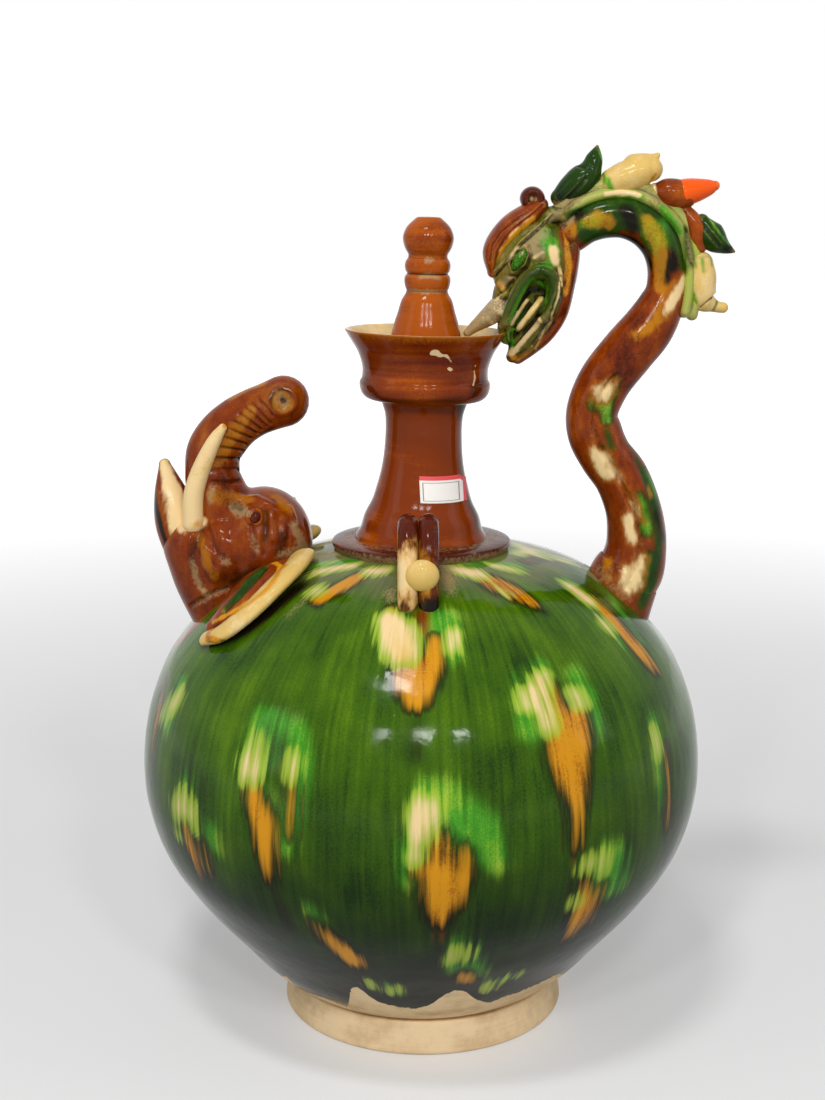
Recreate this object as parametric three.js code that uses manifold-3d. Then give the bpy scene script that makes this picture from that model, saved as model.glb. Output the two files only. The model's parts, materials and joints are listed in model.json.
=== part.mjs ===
// A glazed earthenware ewer: a round body on a spreading foot, a tall neck with a dished mouth and
// a turned stopper, a dragon that bites the rim and whose neck is the handle, an elephant's head
// whose mouth is the spout, and two cord lugs on the shoulder. Units are millimetres, +Z is up,
// and the origin is the centre of the foot's underside. The spout points to -X.
import * as THREE from 'three';
import { mergeVertices } from 'three/addons/utils/BufferGeometryUtils.js';
import Module from 'manifold-3d';

const wasm = await Module();
wasm.setup();

// Driving sizes, in millimetres
const clearance = 0.3;
const overrun = 12;
const footRadius = 63;
const footHeight = 14.7;
const bodyRadius = 123.2;
const bodyHeight = 196.5;
const bodyOffset = 1;
const wall = 6;
const collarRadius = 39.1;
const collarThickness = 3.4;
const neckFootRadius = 28.7;
const neckHeight = 59.5;
const neckWall = 5.5;
const boreRadius = 11.3;
const rimRadius = 35.1;
const bowlHeight = 30.2;
const stopperHeight = 64.8;
const knobRadius = 10.8;
const plugLength = 18;
const plugClearance = 0.9;
const lugHeight = 27;
const lugSeat = 69;
const lugOffset = 2.5;
const lugRollRadius = 4.2;
const lugButtonRadius = 7;
const handleReach = 67;
const handleRise = 46.9;
const handleGirth = 12;
const maneThickness = 2.2;
const dragonHeight = 60;
const elephantHeight = 90;
const spoutBoreRadius = 6.5;
const labelWidth = 19.5;
const labelHeight = 11.5;
const labelThickness = 0.4;
const labelLeft = -0.6;
const labelRise = 18.3;

// Angles and counts of facets
const degree = Math.PI / 180;
const neckLean = 1.3 * degree;
const bodySegments = 40;
const insideSegments = 24;
const neckSegments = 26;
const stopperSegments = 16;
const limbSides = 10;
const smallSides = 7;
const capRings = 2;

// Heights that follow from the sizes
const shoulderTop = footHeight + clearance + bodyHeight;
const collarTop = shoulderTop + collarThickness;
const neckTop = collarTop + clearance + neckHeight;
const bowlBottom = neckTop + clearance;
const rimHeight = bowlBottom + bowlHeight;
const yAxis = new THREE.Vector3(0, 1, 0);

// A closed geometry as a solid: corners merged, empty triangles dropped, faces outwards.
function solid(geometry) {
  const bare = new THREE.BufferGeometry();
  bare.setAttribute('position', geometry.getAttribute('position'));
  bare.setIndex(geometry.getIndex());
  const merged = mergeVertices(bare);
  const place = merged.getAttribute('position');
  const corners = merged.getIndex().array;
  const corner = (i) => new THREE.Vector3().fromBufferAttribute(place, i);
  const triangles = [];
  let volume = 0;
  for (let i = 0; i < corners.length; i += 3) {
    const [a, b, c] = corners.slice(i, i + 3);
    if (a === b || b === c || c === a) continue;
    triangles.push(a, b, c);
    volume += corner(a).dot(corner(b).cross(corner(c)));
  }
  if (volume < 0) triangles.reverse();
  return new wasm.Manifold(new wasm.Mesh({
    numProp: 3,
    vertProperties: Float32Array.from(place.array),
    triVerts: Uint32Array.from(triangles),
  }));
}

// The largest part of a solid, so that a cut leaves no crumb beside it.
function whole(piece) {
  const parts = piece.decompose();
  return parts.reduce((best, part) => (part.volume() > best.volume() ? part : best));
}

function cut(piece, ...tools) {
  return whole(tools.reduce((rest, tool) => rest.subtract(tool), piece));
}

function joined(...pieces) {
  return pieces.reduce((sum, piece) => sum.add(piece));
}

// A profile of (radius, height) points moved outwards by a distance; on the axis it moves along it.
function offsetProfile(profile, distance) {
  const normals = profile.slice(1).map((point, i) => {
    const edge = point.clone().sub(profile[i]);
    return new THREE.Vector2(edge.y, -edge.x).normalize();
  });
  return profile.map((point, i) => {
    const before = normals[Math.max(i - 1, 0)];
    const after = normals[Math.min(i, normals.length - 1)];
    const step = before.clone().add(after).divideScalar(1 + before.dot(after));
    const moved = point.clone().addScaledVector(step, distance);
    if (point.x === 0) moved.x = 0;
    return moved;
  });
}

// A solid of revolution about the Z axis from (radius, height) points that start and end on it.
function turned(profile, segments, grow = 0) {
  const points = grow === 0 ? profile : offsetProfile(profile, grow);
  const geometry = new THREE.LatheGeometry(points, segments);
  geometry.rotateX(90 * degree);
  return solid(geometry);
}

function profileOf(shares, radius, height, bottom = 0) {
  return shares.map(([r, h]) => new THREE.Vector2(r * radius, bottom + h * height));
}

// A tapered limb along a route of centres: a round section that swells and narrows, with round ends.
// flat is the section's size along side, as a share of its size across the route.
function limb(route, radii, { flat = 1, side = yAxis, grow = 0, steps = 12, sides = limbSides } = {}) {
  const path = new THREE.CatmullRomCurve3(route, false, 'centripetal');
  const girth = new THREE.CatmullRomCurve3(radii.map((r) => new THREE.Vector3(r, 0, 0)));
  const last = radii.length - 1;
  const stations = [];
  for (let i = 0; i <= capRings; i++) {
    const turn = (i / capRings) * 90 * degree;
    stations.push({ u: 0, along: -(radii[0] + grow) * Math.cos(turn), share: Math.sin(turn) });
  }
  for (let i = 1; i < steps; i++) stations.push({ u: i / steps, along: 0, share: 1 });
  for (let i = capRings; i >= 0; i--) {
    const turn = (i / capRings) * 90 * degree;
    stations.push({ u: 1, along: (radii[last] + grow) * Math.cos(turn), share: Math.sin(turn) });
  }
  const profile = stations.map(({ u, share }, i) => {
    const radius = share * girth.getPoint(u).x;
    return new THREE.Vector2(i === 0 || i === stations.length - 1 ? 0 : radius + share * grow, i);
  });
  const bare = new THREE.LatheGeometry(profile, sides);
  bare.deleteAttribute('normal');
  bare.deleteAttribute('uv');
  const geometry = mergeVertices(bare);
  const place = geometry.getAttribute('position');
  const point = new THREE.Vector3();
  for (let i = 0; i < place.count; i++) {
    point.fromBufferAttribute(place, i);
    const { u, along } = stations[Math.round(point.y)];
    const radius = girth.getPoint(u).x;
    const tangent = path.getTangent(u);
    const across = new THREE.Vector3().crossVectors(side, tangent).normalize();
    const deep = new THREE.Vector3().crossVectors(tangent, across);
    const depth = point.z * (flat * radius + grow) / (radius + grow);
    const centre = path.getPoint(u).addScaledVector(tangent, along);
    centre.addScaledVector(across, point.x).addScaledVector(deep, depth);
    place.setXYZ(i, centre.x, centre.y, centre.z);
  }
  return solid(geometry);
}

// An ellipsoid, turned about the Y axis.
function blob(centre, radii, { turn = 0, grow = 0, across = 8, down = 6 } = {}) {
  const geometry = new THREE.SphereGeometry(1, across, down);
  geometry.scale(radii.x + grow, radii.y + grow, radii.z + grow);
  geometry.rotateY(turn);
  geometry.translate(centre.x, centre.y, centre.z);
  return solid(geometry);
}

const root = new THREE.Group();

function addPiece(parent, name, piece, color, roughness) {
  const { vertProperties, triVerts } = piece.getMesh();
  const geometry = new THREE.BufferGeometry();
  geometry.setAttribute('position', new THREE.BufferAttribute(vertProperties, 3));
  geometry.setIndex(new THREE.BufferAttribute(triVerts, 1));
  geometry.computeVertexNormals();
  const material = new THREE.MeshStandardMaterial({ color, roughness, metalness: 0 });
  const mesh = new THREE.Mesh(geometry, material);
  mesh.name = name;
  parent.add(mesh);
}

// Glaze and clay colours
const bareClay = 0xd9b98a;
const greenGlaze = 0x2f5a12;
const darkGreen = 0x1d3310;
const amberGlaze = 0x8a4314;
const brownGlaze = 0x5a2a14;
const creamGlaze = 0xe2cf94;
const orangeGlaze = 0xf2571c;
const paperWhite = 0xf4f2ee;
const glossy = 0.15;
const dry = 0.85;

// Foot: a solid spreading disc with a flat underside
const footProfileShares = [[0, 0], [0.984, 0], [1, 0.08], [0.99, 0.3], [0.962, 1], [0, 1]];
const footForm = turned(profileOf(footProfileShares, footRadius, footHeight), bodySegments);

// Body: one outline, hollow, thrown in two halves that meet at the belly
const bodyProfileShares = [
  [0, 0], [0.491, 0], [0.5966, 0.056], [0.6964, 0.127], [0.8336, 0.229], [0.9375, 0.331],
  [0.9894, 0.433], [1, 0.524], [0.9765, 0.636], [0.9172, 0.738], [0.8647, 0.79], [0.7946, 0.84],
  [0.6899, 0.901], [0.5933, 0.9415], [0.3929, 0.9822], [0.2435, 1], [0, 1],
];
const bellyPoint = bodyProfileShares.findIndex(([r]) => r === 1);
const bodyProfile = profileOf(bodyProfileShares, bodyRadius, bodyHeight, footHeight + clearance);
const bellyHeight = bodyProfile[bellyPoint].y;

function bodyForm(grow = 0) {
  return turned(bodyProfile, bodySegments, grow).translate([-bodyOffset, 0, 0]);
}

// Height of the body's upper surface above a place in plan.
function shoulderHeight(x, y) {
  const radius = Math.hypot(x + bodyOffset, y);
  let i = bellyPoint + 1;
  while (i < bodyProfile.length - 2 && bodyProfile[i].x > radius) i++;
  const [low, high] = [bodyProfile[i - 1], bodyProfile[i]];
  const share = (low.x - radius) / (low.x - high.x);
  return low.y + share * (high.y - low.y);
}

function onShoulder(x, y, lift) {
  return new THREE.Vector3(x, y, shoulderHeight(x, y) + lift);
}

// A block that holds everything between two heights.
function slice(low, high) {
  const geometry = new THREE.BoxGeometry(4 * bodyRadius, 4 * bodyRadius, high - low);
  geometry.translate(0, 0, (low + high) / 2);
  return solid(geometry);
}

// A round bore between two heights, on the body's axis.
const boreShares = [[0, 0], [1, 0], [1, 1], [0, 1]];

function bore(radius, low, high) {
  const points = profileOf(boreShares, radius, high - low, low);
  return turned(points, insideSegments).translate([-bodyOffset, 0, 0]);
}

// Collar: the flat ring on the shoulder that the neck stands on
const collarHoleRadius = neckFootRadius - 2 * wall;
const collarProfileShares = [
  [0, -1.5], [0.93, -1.5], [0.985, -0.25], [1, 0.3], [0.985, 0.65], [0.74, 1], [0, 1],
];

function collarForm(grow = 0) {
  const points = profileOf(collarProfileShares, collarRadius, collarThickness, shoulderTop);
  return turned(points, bodySegments, grow).translate([-bodyOffset, 0, 0]);
}

// The neck, mouth and stopper lean together about the middle of the collar's top.
const lean = new THREE.Group();
lean.position.set(-bodyOffset, 0, collarTop);
lean.rotation.y = neckLean;
lean.updateMatrix();
root.add(lean);

function leaned(piece) {
  return piece.transform(lean.matrix.elements);
}

function unleaned(piece) {
  return piece.transform(lean.matrix.clone().invert().elements);
}

// Neck: waisted, with a flared foot; heights from here on are above the collar's top
const neckProfileShares = [
  [1, 0], [0.871, 0.155], [0.76, 0.265], [0.69, 0.377], [0.634, 0.487], [0.599, 0.597],
  [0.582, 0.707], [0.578, 0.815], [0.603, 0.923], [0.662, 1],
];

function neckForm(grow = 0) {
  const side = profileOf(neckProfileShares, neckFootRadius, neckHeight, clearance);
  const base = new THREE.Vector2(0, -collarThickness);
  const skirt = new THREE.Vector2(neckFootRadius, -collarThickness);
  const top = new THREE.Vector2(0, side[side.length - 1].y);
  return turned([base, skirt, ...side, top], neckSegments, grow);
}

function neckBore() {
  const side = profileOf(neckProfileShares, neckFootRadius, neckHeight, clearance);
  const inside = side.map(({ x, y }) => new THREE.Vector2(Math.min(x - neckWall, collarHoleRadius), y));
  const base = inside[0].clone().setY(-overrun);
  const top = new THREE.Vector2(boreRadius, neckHeight + overrun);
  inside.pop();
  const points = [base.clone().setX(0), base, ...inside, top, top.clone().setX(0)];
  return turned(points, insideSegments);
}

// Mouth: a dish with a moulded band round its foot and a flat floor round the bore
const bowlFloorShare = 0.41;
const bowlFloor = bowlFloorShare * bowlHeight;
const bowlOutsideShares = [
  [0, 0], [0.56, 0], [0.735, 0.06], [0.79, 0.14], [0.803, 0.24], [0.785, 0.34], [0.765, 0.42],
  [0.778, 0.52], [0.84, 0.7], [0.985, 0.965], [0.985, 1], [0, 1],
];
const bowlInsideShares = [
  [0, bowlFloorShare], [0.56, bowlFloorShare], [0.63, 0.48], [0.75, 0.72], [0.94, 1], [0.94, 1.2], [0, 1.2],
];

function bowlOutside(grow = 0) {
  const bottom = neckHeight + 2 * clearance;
  return turned(profileOf(bowlOutsideShares, rimRadius, bowlHeight, bottom), neckSegments, grow);
}

function bowlInside() {
  const bottom = neckHeight + 2 * clearance;
  return turned(profileOf(bowlInsideShares, rimRadius, bowlHeight, bottom), neckSegments);
}

// The dish as its neighbours meet it: outside grown, inside shrunk, so both keep the clearance
function bowlGrown() {
  const bottom = neckHeight + 2 * clearance;
  const hollow = profileOf(bowlInsideShares, rimRadius, bowlHeight, bottom);
  const inside = turned(hollow, neckSegments, -clearance);
  return bowlOutside(clearance).subtract(inside);
}

// Stopper: a knob over two rings and a spreading skirt that rests on the dish's floor
const stopperProfileShares = [
  [1.52, 0], [1.52, 0.025], [1.44, 0.19], [1.3, 0.295], [1.13, 0.38], [0.98, 0.472], [0.84, 0.515],
  [0.9, 0.58], [0.84, 0.634], [0.9, 0.68], [0.77, 0.745], [0.95, 0.81], [1, 0.861], [0.93, 0.915],
  [0.68, 0.96], [0.38, 1], [0.3, 0.975], [0, 0.965],
];

const plugShares = [[0, -1], [0.9, -1], [1, -0.9], [1, 0]];

function stopperForm() {
  const seat = neckHeight + 3 * clearance + bowlFloor;
  const plugRadius = boreRadius - plugClearance;
  const plug = profileOf(plugShares, plugRadius, plugLength, seat);
  const above = profileOf(stopperProfileShares, knobRadius, stopperHeight, seat);
  return turned([...plug, ...above], stopperSegments);
}

// Dragon: places are shares of the head's height, from the rim's edge on the handle's side
const rimEdge = rimRadius - bodyOffset + Math.sin(neckLean) * (rimHeight - collarTop);

function dragonPlace([x, z], y = 0) {
  return new THREE.Vector3(rimEdge + x * dragonHeight, y * dragonHeight, rimHeight + z * dragonHeight);
}

function dragonLimb(shares, options = {}, y = 0) {
  const radii = shares.map((share) => share[2] * dragonHeight);
  return limb(shares.map((share) => dragonPlace(share, y)), radii, options);
}

// A rounded lump: its place, its distance from the head's middle plane, and its half sizes.
function dragonBlob({ place, spread = 0, sizes }, options = {}, hand = 0) {
  const radii = new THREE.Vector3(...sizes).multiplyScalar(dragonHeight);
  return blob(dragonPlace(place, spread * hand), radii, options);
}

const muzzleShares = [[0.13, 0.36, 0.2], [0.02, 0.25, 0.14], [-0.045, 0.15, 0.09]];
const jawShares = [[0.28, 0.15, 0.14], [0.18, 0, 0.105], [0.085, -0.115, 0.075], [0.03, -0.2, 0.045]];
const teethShares = [[0.235, 0.2, 0.06], [0.14, 0.1, 0.058], [0.075, 0.03, 0.05]];
const lipShares = [
  [0.075, 0.235, 0.042], [0.11, 0.36, 0.046], [0.18, 0.41, 0.048], [0.25, 0.42, 0.048],
  [0.295, 0.34, 0.048], [0.29, 0.22, 0.048], [0.24, 0.12, 0.04],
];
const crestShares = [
  [-0.11, 0.41, 0.05], [-0.095, 0.54, 0.085], [0.015, 0.69, 0.095], [0.13, 0.78, 0.08], [0.22, 0.86, 0.055],
];
const bridgeShares = [[-0.06, 0.13, 0.1], [-0.13, 0.03, 0.09], [-0.17, -0.04, 0.06]];
const dragonSkullShares = { place: [0.18, 0.465], sizes: [0.315, 0.225, 0.315] };
const dragonCheekShares = { place: [0.3, 0.22], sizes: [0.145, 0.2, 0.22] };
const curlShares = { place: [0.148, 0.892], sizes: [0.1, 0.125, 0.105] };
const dragonEyeShares = { place: [0.06, 0.493], spread: 0.2, sizes: [0.1, 0.05, 0.055] };
const nostrilShares = { place: [-0.025, 0.25], spread: 0.13, sizes: [0.045, 0.04, 0.04] };
const lipSpreadShare = 0.2;
const eyeTurn = -57 * degree;

function headForm(grow = 0) {
  const round = { grow, across: 12, down: 10 };
  const skull = dragonBlob(dragonSkullShares, round);
  const cheek = dragonBlob(dragonCheekShares, round);
  return joined(skull, cheek, dragonLimb(muzzleShares, { grow, steps: 4 }));
}

const jawForm = (grow = 0) => dragonLimb(jawShares, { grow, flat: 1.3, steps: 5, sides: 8 });
const teethForm = (grow = 0) => dragonLimb(teethShares, { grow, flat: 3.9, steps: 3, sides: 8 });
const crestForm = (grow = 0) => dragonLimb(crestShares, { grow, flat: 1.7, steps: 7, sides: 8 });
const curlForm = (grow = 0) => dragonBlob(curlShares, { grow, across: 10 });

// Handle: the dragon's neck, from the back of its head over an arch and down to the shoulder.
// Each row is reach from the rim's edge, height above the seat, and girth.
const handleShares = [
  [0.412, 0.949, 0.817], [0.487, 0.974, 0.815], [0.603, 0.998, 0.767], [0.734, 1, 0.758],
  [0.863, 0.9755, 0.742], [0.958, 0.933, 0.733], [1, 0.8745, 0.69], [1, 0.814, 0.717],
  [0.967, 0.772, 0.817], [0.89, 0.715, 0.925], [0.767, 0.654, 0.958], [0.615, 0.57, 0.95],
  [0.546, 0.49, 0.933], [0.57, 0.437, 0.983], [0.637, 0.381, 0.95], [0.746, 0.321, 0.975],
  [0.825, 0.241, 1], [0.852, 0.18, 1.058], [0.853, 0.128, 1.108], [0.827, 0.078, 1.208],
  [0.779, 0.044, 1.29], [0.716, -0.06, 1.25],
];
const handleFootX = rimEdge + handleShares.at(-2)[0] * handleReach;
const handleSeat = shoulderHeight(handleFootX, 0);
const archTop = rimHeight + handleRise;
const handleRoute = handleShares.map(([x, z]) => new THREE.Vector3(
  rimEdge + x * handleReach,
  0,
  handleSeat + z * (archTop - handleSeat),
));
const handleRadii = handleShares.map((share) => share[2] * handleGirth);
const handleForm = (grow = 0) => limb(handleRoute, handleRadii, { grow, steps: 36, sides: 12 });

// Mane: a flat band along the arch's outside, and the locks that stand on it.
// A place on the mane is a share of the handle's route and a height above the handle's skin.
function manePlace(share, lift) {
  const path = new THREE.CatmullRomCurve3(handleRoute, false, 'centripetal');
  const girth = new THREE.CatmullRomCurve3(handleRadii.map((r) => new THREE.Vector3(r, 0, 0)));
  const outwards = new THREE.Vector3().crossVectors(path.getTangent(share), yAxis).normalize();
  return path.getPoint(share).addScaledVector(outwards, girth.getPoint(share).x + lift);
}

const maneShares = [0.01, 0.055, 0.1, 0.145, 0.19, 0.235, 0.28, 0.325, 0.37];
const maneRoute = maneShares.map((share) => manePlace(share, 0));

function maneForm(grow = 0) {
  return limb(maneRoute, maneRoute.map(() => maneThickness), { grow, flat: 2.8, steps: 14, sides: 8 });
}

// Each lock's rows are reach from the rim's edge, height above it, and girth, as shares of the head.
const lockTable = {
  mane_lock_1: {
    shares: [[0.4, 0.915, 0.07], [0.49, 1.02, 0.1], [0.58, 1.13, 0.085], [0.61, 1.255, 0.03]],
    color: darkGreen,
  },
  mane_lock_2: {
    shares: [[0.735, 1.04, 0.095], [0.86, 1.08, 0.11], [0.97, 1.13, 0.08], [1.03, 1.19, 0.035]],
    color: creamGlaze,
  },
  mane_lock_3: {
    shares: [[1.02, 0.97, 0.07], [1.11, 0.95, 0.09], [1.19, 0.935, 0.08]],
    color: brownGlaze,
  },
  mane_lock_3_tip: {
    shares: [[1.25, 0.95, 0.09], [1.335, 0.965, 0.07], [1.43, 1.01, 0.022]],
    color: orangeGlaze,
  },
  mane_lock_4: {
    shares: [[1.275, 0.79, 0.07], [1.32, 0.69, 0.08], [1.34, 0.6, 0.055]],
    color: brownGlaze,
  },
  mane_lock_4_tip: {
    shares: [[1.385, 0.755, 0.055], [1.44, 0.645, 0.075], [1.525, 0.575, 0.05], [1.587, 0.548, 0.016]],
    color: darkGreen,
  },
  mane_lock_5: {
    shares: [[1.365, 0.435, 0.08], [1.375, 0.315, 0.09], [1.41, 0.205, 0.08], [1.5, 0.145, 0.045]],
    color: creamGlaze,
  },
};

// Elephant: places are shares of its height, from a point on the shoulder on the spout's side
const elephantX = -0.65 * bodyRadius;
const elephantSeat = shoulderHeight(elephantX, 0);

function elephantPlace([x, z], y = 0) {
  return new THREE.Vector3(
    elephantX + x * elephantHeight,
    y * elephantHeight,
    elephantSeat + z * elephantHeight,
  );
}

function elephantLimb(shares, options = {}, y = 0) {
  const radii = shares.map((share) => share[2] * elephantHeight);
  return limb(shares.map((share) => elephantPlace(share, y)), radii, options);
}

function elephantBlob({ place, spread = 0, sizes }, options = {}, hand = 0) {
  const radii = new THREE.Vector3(...sizes).multiplyScalar(elephantHeight);
  return blob(elephantPlace(place, spread * hand), radii, options);
}

const throatShares = [[-0.07, -0.2, 0.165], [-0.138, 0.008, 0.19], [-0.199, 0.174, 0.183]];
const browShares = [[-0.088, 0.352, 0.156], [-0.132, 0.5, 0.133]];
const trunkShares = [
  [-0.132, 0.519, 0.132], [-0.124, 0.619, 0.131], [-0.077, 0.697, 0.129], [-0.006, 0.766, 0.122],
  [0.073, 0.813, 0.117], [0.151, 0.844, 0.118], [0.218, 0.869, 0.124],
];
const lowerJawShares = [
  [-0.266, 0.13, 0.1], [-0.31, 0.286, 0.106], [-0.338, 0.43, 0.078], [-0.361, 0.563, 0.029],
];
const mouthShares = [
  [-0.25, 0.16, 0.06], [-0.275, 0.33, 0.06], [-0.295, 0.485, 0.058], [-0.3, 0.67, 0.06],
];
const tuskShares = [
  [-0.213, 0.298, 0.051], [-0.206, 0.438, 0.049], [-0.176, 0.539, 0.045], [-0.132, 0.64, 0.039],
  [-0.093, 0.713, 0.031], [-0.061, 0.759, 0.02],
];
const tuskSpreadShare = 0.139;
const elephantSkullShares = { place: [0.112, 0.186], sizes: [0.239, 0.278, 0.267] };
const elephantCheekShares = { place: [-0.066, 0.152], sizes: [0.189, 0.256, 0.222] };
const elephantEyeShares = { place: [0.094, 0.342], spread: 0.222, sizes: [0.034, 0.03, 0.034] };
const tipHollowShares = { place: [0.224, 0.873], spread: 0.145, sizes: [0.06, 0.045, 0.06] };

function elephantForm(grow = 0) {
  const round = { grow, across: 14, down: 10 };
  const skull = elephantBlob(elephantSkullShares, round);
  const cheek = elephantBlob(elephantCheekShares, round);
  const throat = elephantLimb(throatShares, { grow, flat: 1.15, steps: 5 });
  const brow = elephantLimb(browShares, { grow, flat: 1.1, steps: 3 });
  return joined(skull, cheek, throat, brow);
}

const trunkForm = (grow = 0) => elephantLimb(trunkShares, { grow, steps: 14 });
const lowerJawForm = (grow = 0) => elephantLimb(lowerJawShares, { grow, flat: 1.25, steps: 7 });
const mouthForm = (grow = 0) => elephantLimb(mouthShares, { grow, flat: 1.7, steps: 5, sides: 8 });

// Spout bore: from the body's hollow up through the throat to the mouth
const boreTopShares = [-0.265, 0.285];
const boreFootShares = [-0.093, -0.3];

function spoutBore() {
  const route = [elephantPlace(boreTopShares), elephantPlace(boreFootShares)];
  return limb(route, [spoutBoreRadius, spoutBoreRadius], { steps: 2, sides: 8 });
}

// Ears: a blade draped on the shoulder beside the head, and a thick rim along its outer edge.
// Each row is a place in plan, a height above the shoulder and a girth, as shares of the elephant.
const earBladeShares = [
  [-0.06, 0.47, 0.025, 0.04], [0.023, 0.475, 0.04, 0.09], [0.125, 0.43, 0.045, 0.11],
  [0.215, 0.35, 0.045, 0.09], [0.265, 0.26, 0.035, 0.04],
];
const earRimShares = [
  [-0.11, 0.522, 0.05, 0.035], [-0.032, 0.588, 0.055, 0.042], [0.09, 0.605, 0.06, 0.044],
  [0.207, 0.54, 0.062, 0.044], [0.284, 0.418, 0.06, 0.044], [0.312, 0.278, 0.055, 0.042],
];

function earLimb(shares, hand, options) {
  const route = shares.map(([x, y, lift]) => onShoulder(
    elephantX + x * elephantHeight,
    hand * y * elephantHeight,
    lift * elephantHeight,
  ));
  return limb(route, shares.map((share) => share[3] * elephantHeight), options);
}

// The way the blade is thin: up, away from the handle and outwards
const earThinShares = [-0.45, 0.35, 0.82];

function earBlade(hand, grow = 0) {
  const [back, out, up] = earThinShares;
  const side = new THREE.Vector3(back, out * hand, up).normalize();
  return earLimb(earBladeShares, hand, { grow, flat: 0.42, side, steps: 7, sides: 8 });
}

const earRim = (hand) => earLimb(earRimShares, hand, { steps: 10, sides: smallSides });

// Lugs: two rolls of clay side by side, arched from the shoulder to the collar, with a button
const lugShares = [
  [0.06, -0.2], [0.04, 0.37], [-0.09, 0.78], [-0.39, 1], [-0.69, 0.87], [-0.84, 0.5], [-0.88, 0.05],
];
const lugBase = shoulderHeight(0, lugSeat);

function lugRoll(face, hand, grow = 0) {
  const x = -lugOffset + hand * (lugRollRadius + clearance / 2);
  const route = lugShares.map(([out, up]) => new THREE.Vector3(
    x,
    face * (lugSeat + out * lugHeight),
    lugBase + up * lugHeight,
  ));
  return limb(route, route.map(() => lugRollRadius), { grow, steps: 10, sides: smallSides });
}

function lugButton(face) {
  const centre = new THREE.Vector3(
    -lugOffset + lugRollRadius / 3,
    face * (lugSeat + lugRollRadius),
    lugBase + 0.45 * lugHeight,
  );
  return blob(centre, new THREE.Vector3(lugButtonRadius, lugRollRadius, lugButtonRadius), { across: 10 });
}

// Label: a blank paper slip stuck on the front of the neck, with one corner cut off
const labelOutlineShares = [[0, 0.03], [1, -0.03], [0.97, 0.78], [0.84, 1], [-0.04, 0.97]];

function labelForm() {
  const corners = labelOutlineShares.map(([x, z]) => new THREE.Vector2(x * labelWidth, z * labelHeight));
  const geometry = new THREE.ExtrudeGeometry(new THREE.Shape(corners), {
    depth: 2 * neckFootRadius,
    bevelEnabled: false,
  });
  geometry.rotateX(90 * degree);
  geometry.translate(labelLeft, 0, labelRise);
  return solid(geometry).intersect(neckForm(clearance + labelThickness)).subtract(neckForm(clearance));
}

// The pieces, each cut by what carries it
const cavity = turned(offsetProfile(bodyProfile, -wall), insideSegments).translate([-bodyOffset, 0, 0]);
const shell = bodyForm().subtract(cavity);
const bodyGrown = bodyForm(clearance);
const collarGrown = collarForm(clearance);
addPiece(root, 'foot', footForm, bareClay, dry);
const lowerShell = whole(shell.intersect(slice(0, bellyHeight - clearance / 2)));
addPiece(root, 'lower_body', lowerShell, greenGlaze, glossy);

const neckHole = bore(collarHoleRadius, bellyHeight, collarTop + overrun);
const upperShell = shell.intersect(slice(bellyHeight + clearance / 2, collarTop));
addPiece(root, 'upper_body', cut(upperShell, neckHole, spoutBore()), greenGlaze, glossy);
addPiece(root, 'collar_ring', cut(collarForm(), bodyGrown, neckHole), brownGlaze, glossy);

const collarCut = unleaned(slice(shoulderTop, collarTop + clearance));
addPiece(lean, 'neck', cut(neckForm(), collarCut, neckBore()), amberGlaze, glossy);
const bowlBore = bore(boreRadius, neckHeight - overrun, neckHeight + bowlHeight);
const throatOfBowl = bowlBore.translate([bodyOffset, 0, 0]);
addPiece(lean, 'mouth_bowl', cut(bowlOutside(), bowlInside(), throatOfBowl), brownGlaze, glossy);
addPiece(lean, 'stopper', stopperForm(), amberGlaze, glossy);
addPiece(lean, 'blank_label', whole(labelForm()), paperWhite, dry);

const bowlSpace = leaned(bowlGrown());
const headGrown = headForm(clearance);
const jawGrown = jawForm(clearance);
const teethGrown = teethForm(clearance);
const jaw = cut(jawForm(), headGrown, teethGrown, bowlSpace);
addPiece(root, 'dragon_head', cut(headForm(), teethGrown, bowlSpace), greenGlaze, glossy);
addPiece(root, 'dragon_lower_jaw', jaw, brownGlaze, glossy);
addPiece(root, 'dragon_teeth', cut(teethForm(), bowlSpace), creamGlaze, glossy);
const bridge = dragonLimb(bridgeShares, { flat: 1.5, steps: 3, sides: 8 });
addPiece(root, 'rim_bridge', cut(bridge, headGrown, teethGrown, jawGrown, bowlSpace), bareClay, dry);
addPiece(root, 'dragon_crest', cut(crestForm(), headGrown), amberGlaze, glossy);
addPiece(root, 'crest_curl', cut(curlForm(), headGrown, crestForm(clearance)), brownGlaze, glossy);
for (const [side, hand] of [['front', -1], ['back', 1]]) {
  const lip = dragonLimb(lipShares, { flat: 1.5, steps: 10, sides: smallSides }, lipSpreadShare * hand);
  const eye = dragonBlob(dragonEyeShares, { turn: eyeTurn }, hand);
  const nostril = dragonBlob(nostrilShares, {}, hand);
  addPiece(root, `dragon_lip_${side}`, cut(lip, headGrown, teethGrown, jawGrown), darkGreen, glossy);
  addPiece(root, `dragon_eye_${side}`, cut(eye, headGrown), greenGlaze, glossy);
  addPiece(root, `dragon_nostril_${side}`, cut(nostril, headGrown), greenGlaze, glossy);
}

const crestParts = [crestForm(clearance), curlForm(clearance)];
addPiece(root, 'dragon_neck', cut(handleForm(), headGrown, jawGrown, bodyGrown), amberGlaze, glossy);
const handleGrown = handleForm(clearance);
addPiece(root, 'mane_band', cut(maneForm(), handleGrown, headGrown, ...crestParts), greenGlaze, glossy);
const maneCarriers = [handleGrown, maneForm(clearance), headGrown, ...crestParts];
for (const [name, { shares, color }] of Object.entries(lockTable)) {
  const lock = (grow) => dragonLimb(shares, { flat: 1.2, steps: 5, sides: smallSides, grow });
  addPiece(root, name, cut(lock(0), ...maneCarriers), color, glossy);
  maneCarriers.push(lock(clearance));
}

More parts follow.
